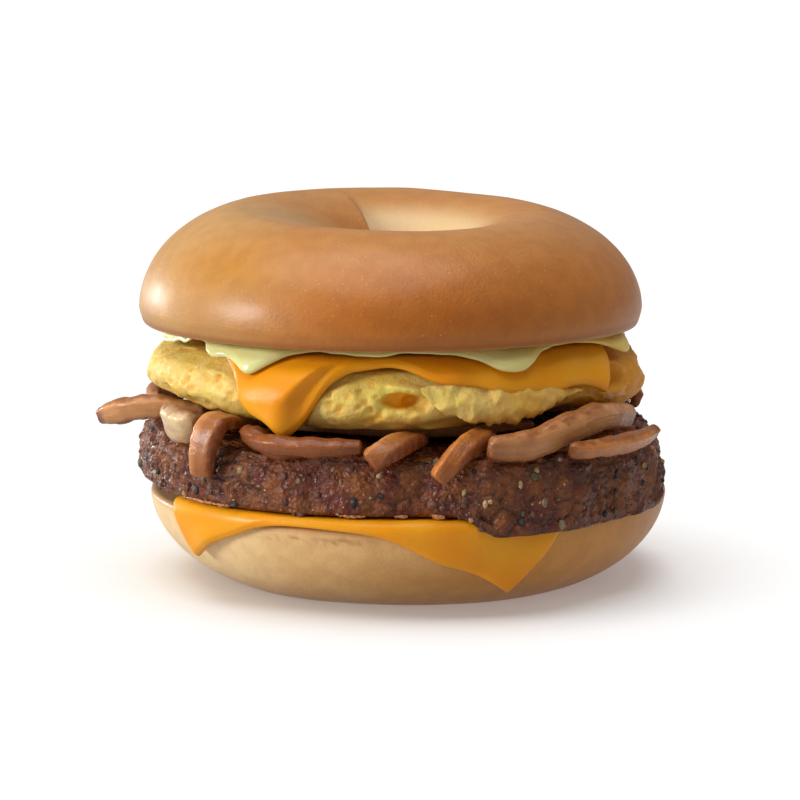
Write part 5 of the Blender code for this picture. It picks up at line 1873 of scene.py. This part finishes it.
class EggSettings(bpy.types.PropertyGroup):
    colour: colour_property("Colour", "Body of the egg", (0.76, 0.51, 0.11))
    pale_colour: colour_property("Pale colour", "Paler patches", (0.78, 0.59, 0.2))
    green_colour: colour_property("Green tint", "Greener yellow near the fold", (0.74, 0.58, 0.11))
    # Tone of the painted shade on the egg's right side and underside.
    warm_colour: colour_property(
        "Warm colour", "Deeper yellow of the right side", (0.68, 0.27, 0.008)
    )
    fried_colour: colour_property("Fried colour", "Browned lower edge", (0.6, 0.25, 0.03))
    # Tone of the painted shade in the egg's pockets, folds and pores.
    hollow_colour: colour_property("Hollow colour", "Inside of pores and folds", (0.9, 0.4, 0.005))
    pores: count_property("Pores", "Small holes in the side", 330)


class SauceSettings(bpy.types.PropertyGroup):
    colour: colour_property("Colour", "Body of the sauce", (0.76, 0.7, 0.32))
    green_colour: colour_property("Green colour", "Greener streaks", (0.68, 0.68, 0.28))
    # Tone of the painted shade and bounce light towards the sauce's right side.
    warm_colour: colour_property("Warm colour", "Deeper yellow of the right side", (0.76, 0.5, 0.1))
    rays: count_property("Rays", "Faces round the sauce", 300)


class StageSettings(bpy.types.PropertyGroup):
    floor_colour: colour_property("Floor colour", "Colour of the floor", (0.9, 0.9, 0.9))
    floor_bounce: colour_property(
        "Floor bounce", "How much of the light the floor gives back", (0.5, 0.5, 0.5)
    )
    floor_glow: plain_property("Floor glow", "Evens out the floor's white", 0.2)
    key_strength: plain_property("Key strength", "Light from the left", 2.5)
    top_strength: plain_property("Top strength", "Light from above", 2.2)
    rim_strength: plain_property("Rim strength", "Light from behind the left", 0.9)
    surround: plain_property("Surround", "Strength of the white surround", 0.3)


class SANDWICH_OT_bagel(bpy.types.Operator):
    """Builds both halves of the bagel"""

    bl_idname = "sandwich.bagel"
    bl_label = "Bagel Halves"

    def execute(self, context):
        settings = context.scene.sandwich_bagel
        tree = make_ring_tree()
        upper = make_crust(
            "upper_crust", settings, settings.toasted_colour, settings.soft_and_sheen_colour
        )
        lower = make_crust(
            "lower_crust", settings, settings.base_colour, settings.base_pale_and_sheen_colour
        )
        shared = {
            "Steps_Around": settings.steps_around,
            "Unevenness": settings.unevenness * MILLIMETRES,
            "Blisters": settings.blisters * MILLIMETRES,
        }
        mesh = run_tree(
            tree, outline_mesh(upper_outline()), Steps_Along=UPPER_STEPS_ALONG,
            Middle=(UPPER_X, 0.0, 0.0), Cut_Height=UPPER_CUT, Seed=2.0, Material=upper, **shared,
        )
        shape_upper(mesh)
        paint_crust(mesh, UPPER_X, upper_shares)
        finish_piece("bagel_upper_half", mesh, upper, ["bagel_upper"])
        mesh = run_tree(
            tree, outline_mesh(lower_outline()), Steps_Along=LOWER_STEPS_ALONG,
            Middle=(LOWER_X, 0.0, 0.0), Cut_Height=LOWER_CUT, Seed=5.0, Material=lower, **shared,
        )
        paint_crust(mesh, LOWER_X, lower_shares)
        finish_piece("bagel_lower_half", mesh, lower, ["bagel_lower"])
        return {"FINISHED"}


class SANDWICH_OT_cheese(bpy.types.Operator):
    """Builds both cheese slices"""

    bl_idname = "sandwich.cheese"
    bl_label = "Cheese Slices"

    def execute(self, context):
        settings = context.scene.sandwich_cheese
        thickness = settings.thickness * MILLIMETRES
        material = make_cheese_material(settings)
        slices = (
            ("cheese_lower", BAGEL_RIM, LOWER_CHEESE_CORNERS, LOWER_CHEESE_STRETCHES, lower_fold),
            ("cheese_upper", EGG_RIM, UPPER_CHEESE_CORNERS, UPPER_CHEESE_STRETCHES, upper_fold),
        )
        for node, rim, corners, stretches, fold_at in slices:
            mesh = make_slice_mesh(node, rim, corners, stretches, thickness, fold_at)
            finish_piece(node + "_slice", mesh, material, [node])
        return {"FINISHED"}


class SANDWICH_OT_patty(bpy.types.Operator):
    """Builds the steak patty with its pepper and juices"""

    bl_idname = "sandwich.patty"
    bl_label = "Steak Patty"

    def execute(self, context):
        settings = context.scene.sandwich_patty
        mesh = make_patty_mesh(settings.crumble * MILLIMETRES)
        face_outwards(mesh)
        spice = make_spice_material(settings)
        grains = run_tree(
            make_grain_tree(), mesh.copy(), Density=settings.grain_density,
            Spacing=settings.grain_spacing * MILLIMETRES,
            Smallest=settings.smallest_grain * MILLIMETRES,
            Largest=settings.largest_grain * MILLIMETRES, Seed=settings.grain_seed, Material=spice,
        )
        finish_piece("steak", mesh, make_meat_material(settings), ["steak_patty"])
        finish_piece("pepper_grains", grains, spice)
        juice = make_juice_material(settings)
        finish_piece("set_juice", make_juice_mesh(make_strip_tree(), juice), juice)
        return {"FINISHED"}


class SANDWICH_OT_onions(bpy.types.Operator):
    """Builds the fried onion strips"""

    bl_idname = "sandwich.onions"
    bl_label = "Onion Strips"

    def execute(self, context):
        settings = context.scene.sandwich_onion
        material = make_onion_material(settings)
        tree = make_strip_tree()
        for seed, (name, route, *shape) in enumerate(ONIONS):
            mesh = make_strip_mesh(route, shape, tree, material, settings, seed)
            finish_piece("onion_strip_" + name, mesh, material, ["onion_" + name])
        return {"FINISHED"}


class SANDWICH_OT_egg(bpy.types.Operator):
    """Builds the folded egg and its loose flap"""

    bl_idname = "sandwich.egg"
    bl_label = "Folded Egg"

    def execute(self, context):
        settings = context.scene.sandwich_egg
        material = make_egg_material(settings)
        finish_piece("folded_egg", make_egg_mesh(settings.pores), material, ["egg"])
        finish_piece("egg_flap", make_flap_mesh(), material)
        return {"FINISHED"}


class SANDWICH_OT_sauce(bpy.types.Operator):
    """Builds the sauce and its drips"""

    bl_idname = "sandwich.sauce"
    bl_label = "Sauce"

    def execute(self, context):
        settings = context.scene.sandwich_sauce
        mesh = make_sheet_mesh(
            "sauce", EGG_RIM, evenly(settings.rays), sauce_reach, sauce_bottom, sauce_thickness,
            None, lambda azimuth, height: 0.0,
        )
        azimuths = [seen_from(EGG_X, point)[0] for point in points_of(mesh)]
        # Painted shade and painted bounce light, deeper yellow towards the right side.
        paint(mesh, "warm", [0.9 * shaded_side(azimuth) for azimuth in azimuths])
        finish_piece("creamy_sauce", mesh, make_sauce_material(settings), ["sauce"])
        return {"FINISHED"}


def add_sun(name, strength, azimuth, elevation, softness, kept_off=None):
    """An even light from one direction, with soft shadows, which may be kept off the floor."""
    data = bpy.data.lights.new(name, "SUN")
    data.energy = strength
    data.angle = math.radians(softness)
    light = bpy.data.objects.new(name, data)
    level = cosine(elevation)
    towards = Vector((level * cosine(azimuth), level * sine(azimuth), sine(elevation)))
    light.location = towards
    light.rotation_euler = towards.to_track_quat("Z", "Y").to_euler()
    bpy.context.scene.collection.objects.link(light)
    if kept_off is not None:
        receivers = bpy.data.collections.new(name + "_receivers")
        receivers.objects.link(kept_off)
        receivers.collection_objects[0].light_linking.link_state = "EXCLUDE"
        light.light_linking.receiver_collection = receivers


def make_floor(settings):
    """A wide white floor that the camera sees lighter than the light it gives back."""
    surface = bmesh.new()
    bmesh.ops.create_circle(surface, cap_ends=True, segments=FLOOR_SEGMENTS, radius=FLOOR_RADIUS)
    mesh = bpy.data.meshes.new("floor")
    surface.to_mesh(mesh)
    surface.free()
    material, tree, shader, where = new_material("floor")
    light, dark = settings.floor_colour, [0.985 * value for value in settings.floor_colour]
    tone = mottled(tree, where, light, dark, Scale=3.0, Detail=2.0, Softness=0.4)
    seen = tree.nodes.new("ShaderNodeLightPath").outputs["Is Camera Ray"]
    set_inputs(
        tree, shader,
        Base_Color=mix_colours(tree, seen, opaque(settings.floor_bounce), tone["Colour"]),
        Roughness=0.7, Emission_Color=opaque(WHITE), Emission_Strength=settings.floor_glow,
    )
    mesh.materials.append(material)
    floor = bpy.data.objects.new("floor", mesh)
    bpy.context.scene.collection.objects.link(floor)
    return floor


def make_surround(strength):
    """A white surround that the camera sees at its full white."""
    world = bpy.data.worlds.new("surround")
    world.use_nodes = True
    tree = world.node_tree
    seen = tree.nodes.new("ShaderNodeLightPath").outputs["Is Camera Ray"]
    set_inputs(
        tree, tree.nodes["Background"], Color=opaque(WHITE),
        Strength=rescale(tree, seen, 0.0, 1.0, strength, 1.0),
    )
    bpy.context.scene.world = world


def make_camera():
    data = bpy.data.cameras.new("camera")
    data.lens = CAMERA_LENS
    data.sensor_width = CAMERA_SENSOR
    camera = bpy.data.objects.new("camera", data)
    camera.location = CAMERA_PLACE
    aim = Vector(CAMERA_AIM) - camera.location
    camera.rotation_euler = aim.to_track_quat("-Z", "Y").to_euler()
    bpy.context.scene.collection.objects.link(camera)
    bpy.context.scene.camera = camera


class SANDWICH_OT_stage(bpy.types.Operator):
    """Sets the floor, the lights and the camera"""

    bl_idname = "sandwich.stage"
    bl_label = "Stage"

    def execute(self, context):
        settings = context.scene.sandwich_stage
        floor = make_floor(settings)
        add_sun("top", settings.top_strength, *TOP_LIGHT)
        add_sun("key", settings.key_strength, *KEY_LIGHT, kept_off=floor)
        add_sun("rim", settings.rim_strength, *RIM_LIGHT, kept_off=floor)
        make_surround(settings.surround)
        context.scene.view_settings.view_transform = "Standard"
        make_camera()
        return {"FINISHED"}


class SANDWICH_PT_panel(bpy.types.Panel):
    """Lists the pieces of the sandwich"""

    bl_idname = "SANDWICH_PT_panel"
    bl_label = "Bagel Sandwich"
    bl_space_type = "VIEW_3D"
    bl_region_type = "UI"
    bl_category = "Sandwich"

    def draw(self, context):
        for operator in OPERATORS:
            self.layout.operator(operator.bl_idname)


SETTINGS = {
    "sandwich_bagel": BagelSettings,
    "sandwich_cheese": CheeseSettings,
    "sandwich_patty": PattySettings,
    "sandwich_onion": OnionSettings,
    "sandwich_egg": EggSettings,
    "sandwich_sauce": SauceSettings,
    "sandwich_stage": StageSettings,
}
OPERATORS = (
    SANDWICH_OT_stage,
    SANDWICH_OT_bagel,
    SANDWICH_OT_cheese,
    SANDWICH_OT_patty,
    SANDWICH_OT_onions,
    SANDWICH_OT_egg,
    SANDWICH_OT_sauce,
)


def register():
    for item in (*SETTINGS.values(), *OPERATORS, SANDWICH_PT_panel):
        bpy.utils.register_class(item)
    for name, group in SETTINGS.items():
        setattr(bpy.types.Scene, name, PointerProperty(type=group))


def unregister():
    for name in SETTINGS:
        delattr(bpy.types.Scene, name)
    for item in (SANDWICH_PT_panel, *reversed(OPERATORS), *reversed(SETTINGS.values())):
        bpy.utils.unregister_class(item)


def main():
    register()
    make_mottle_group()
    make_speckle_group()
    make_grain_relief_group()
    bpy.ops.sandwich.stage()
    bpy.ops.sandwich.bagel()
    bpy.ops.sandwich.cheese()
    bpy.ops.sandwich.patty()
    bpy.ops.sandwich.onions()
    bpy.ops.sandwich.egg()
    bpy.ops.sandwich.sauce()


if __name__ == "__main__":
    main()
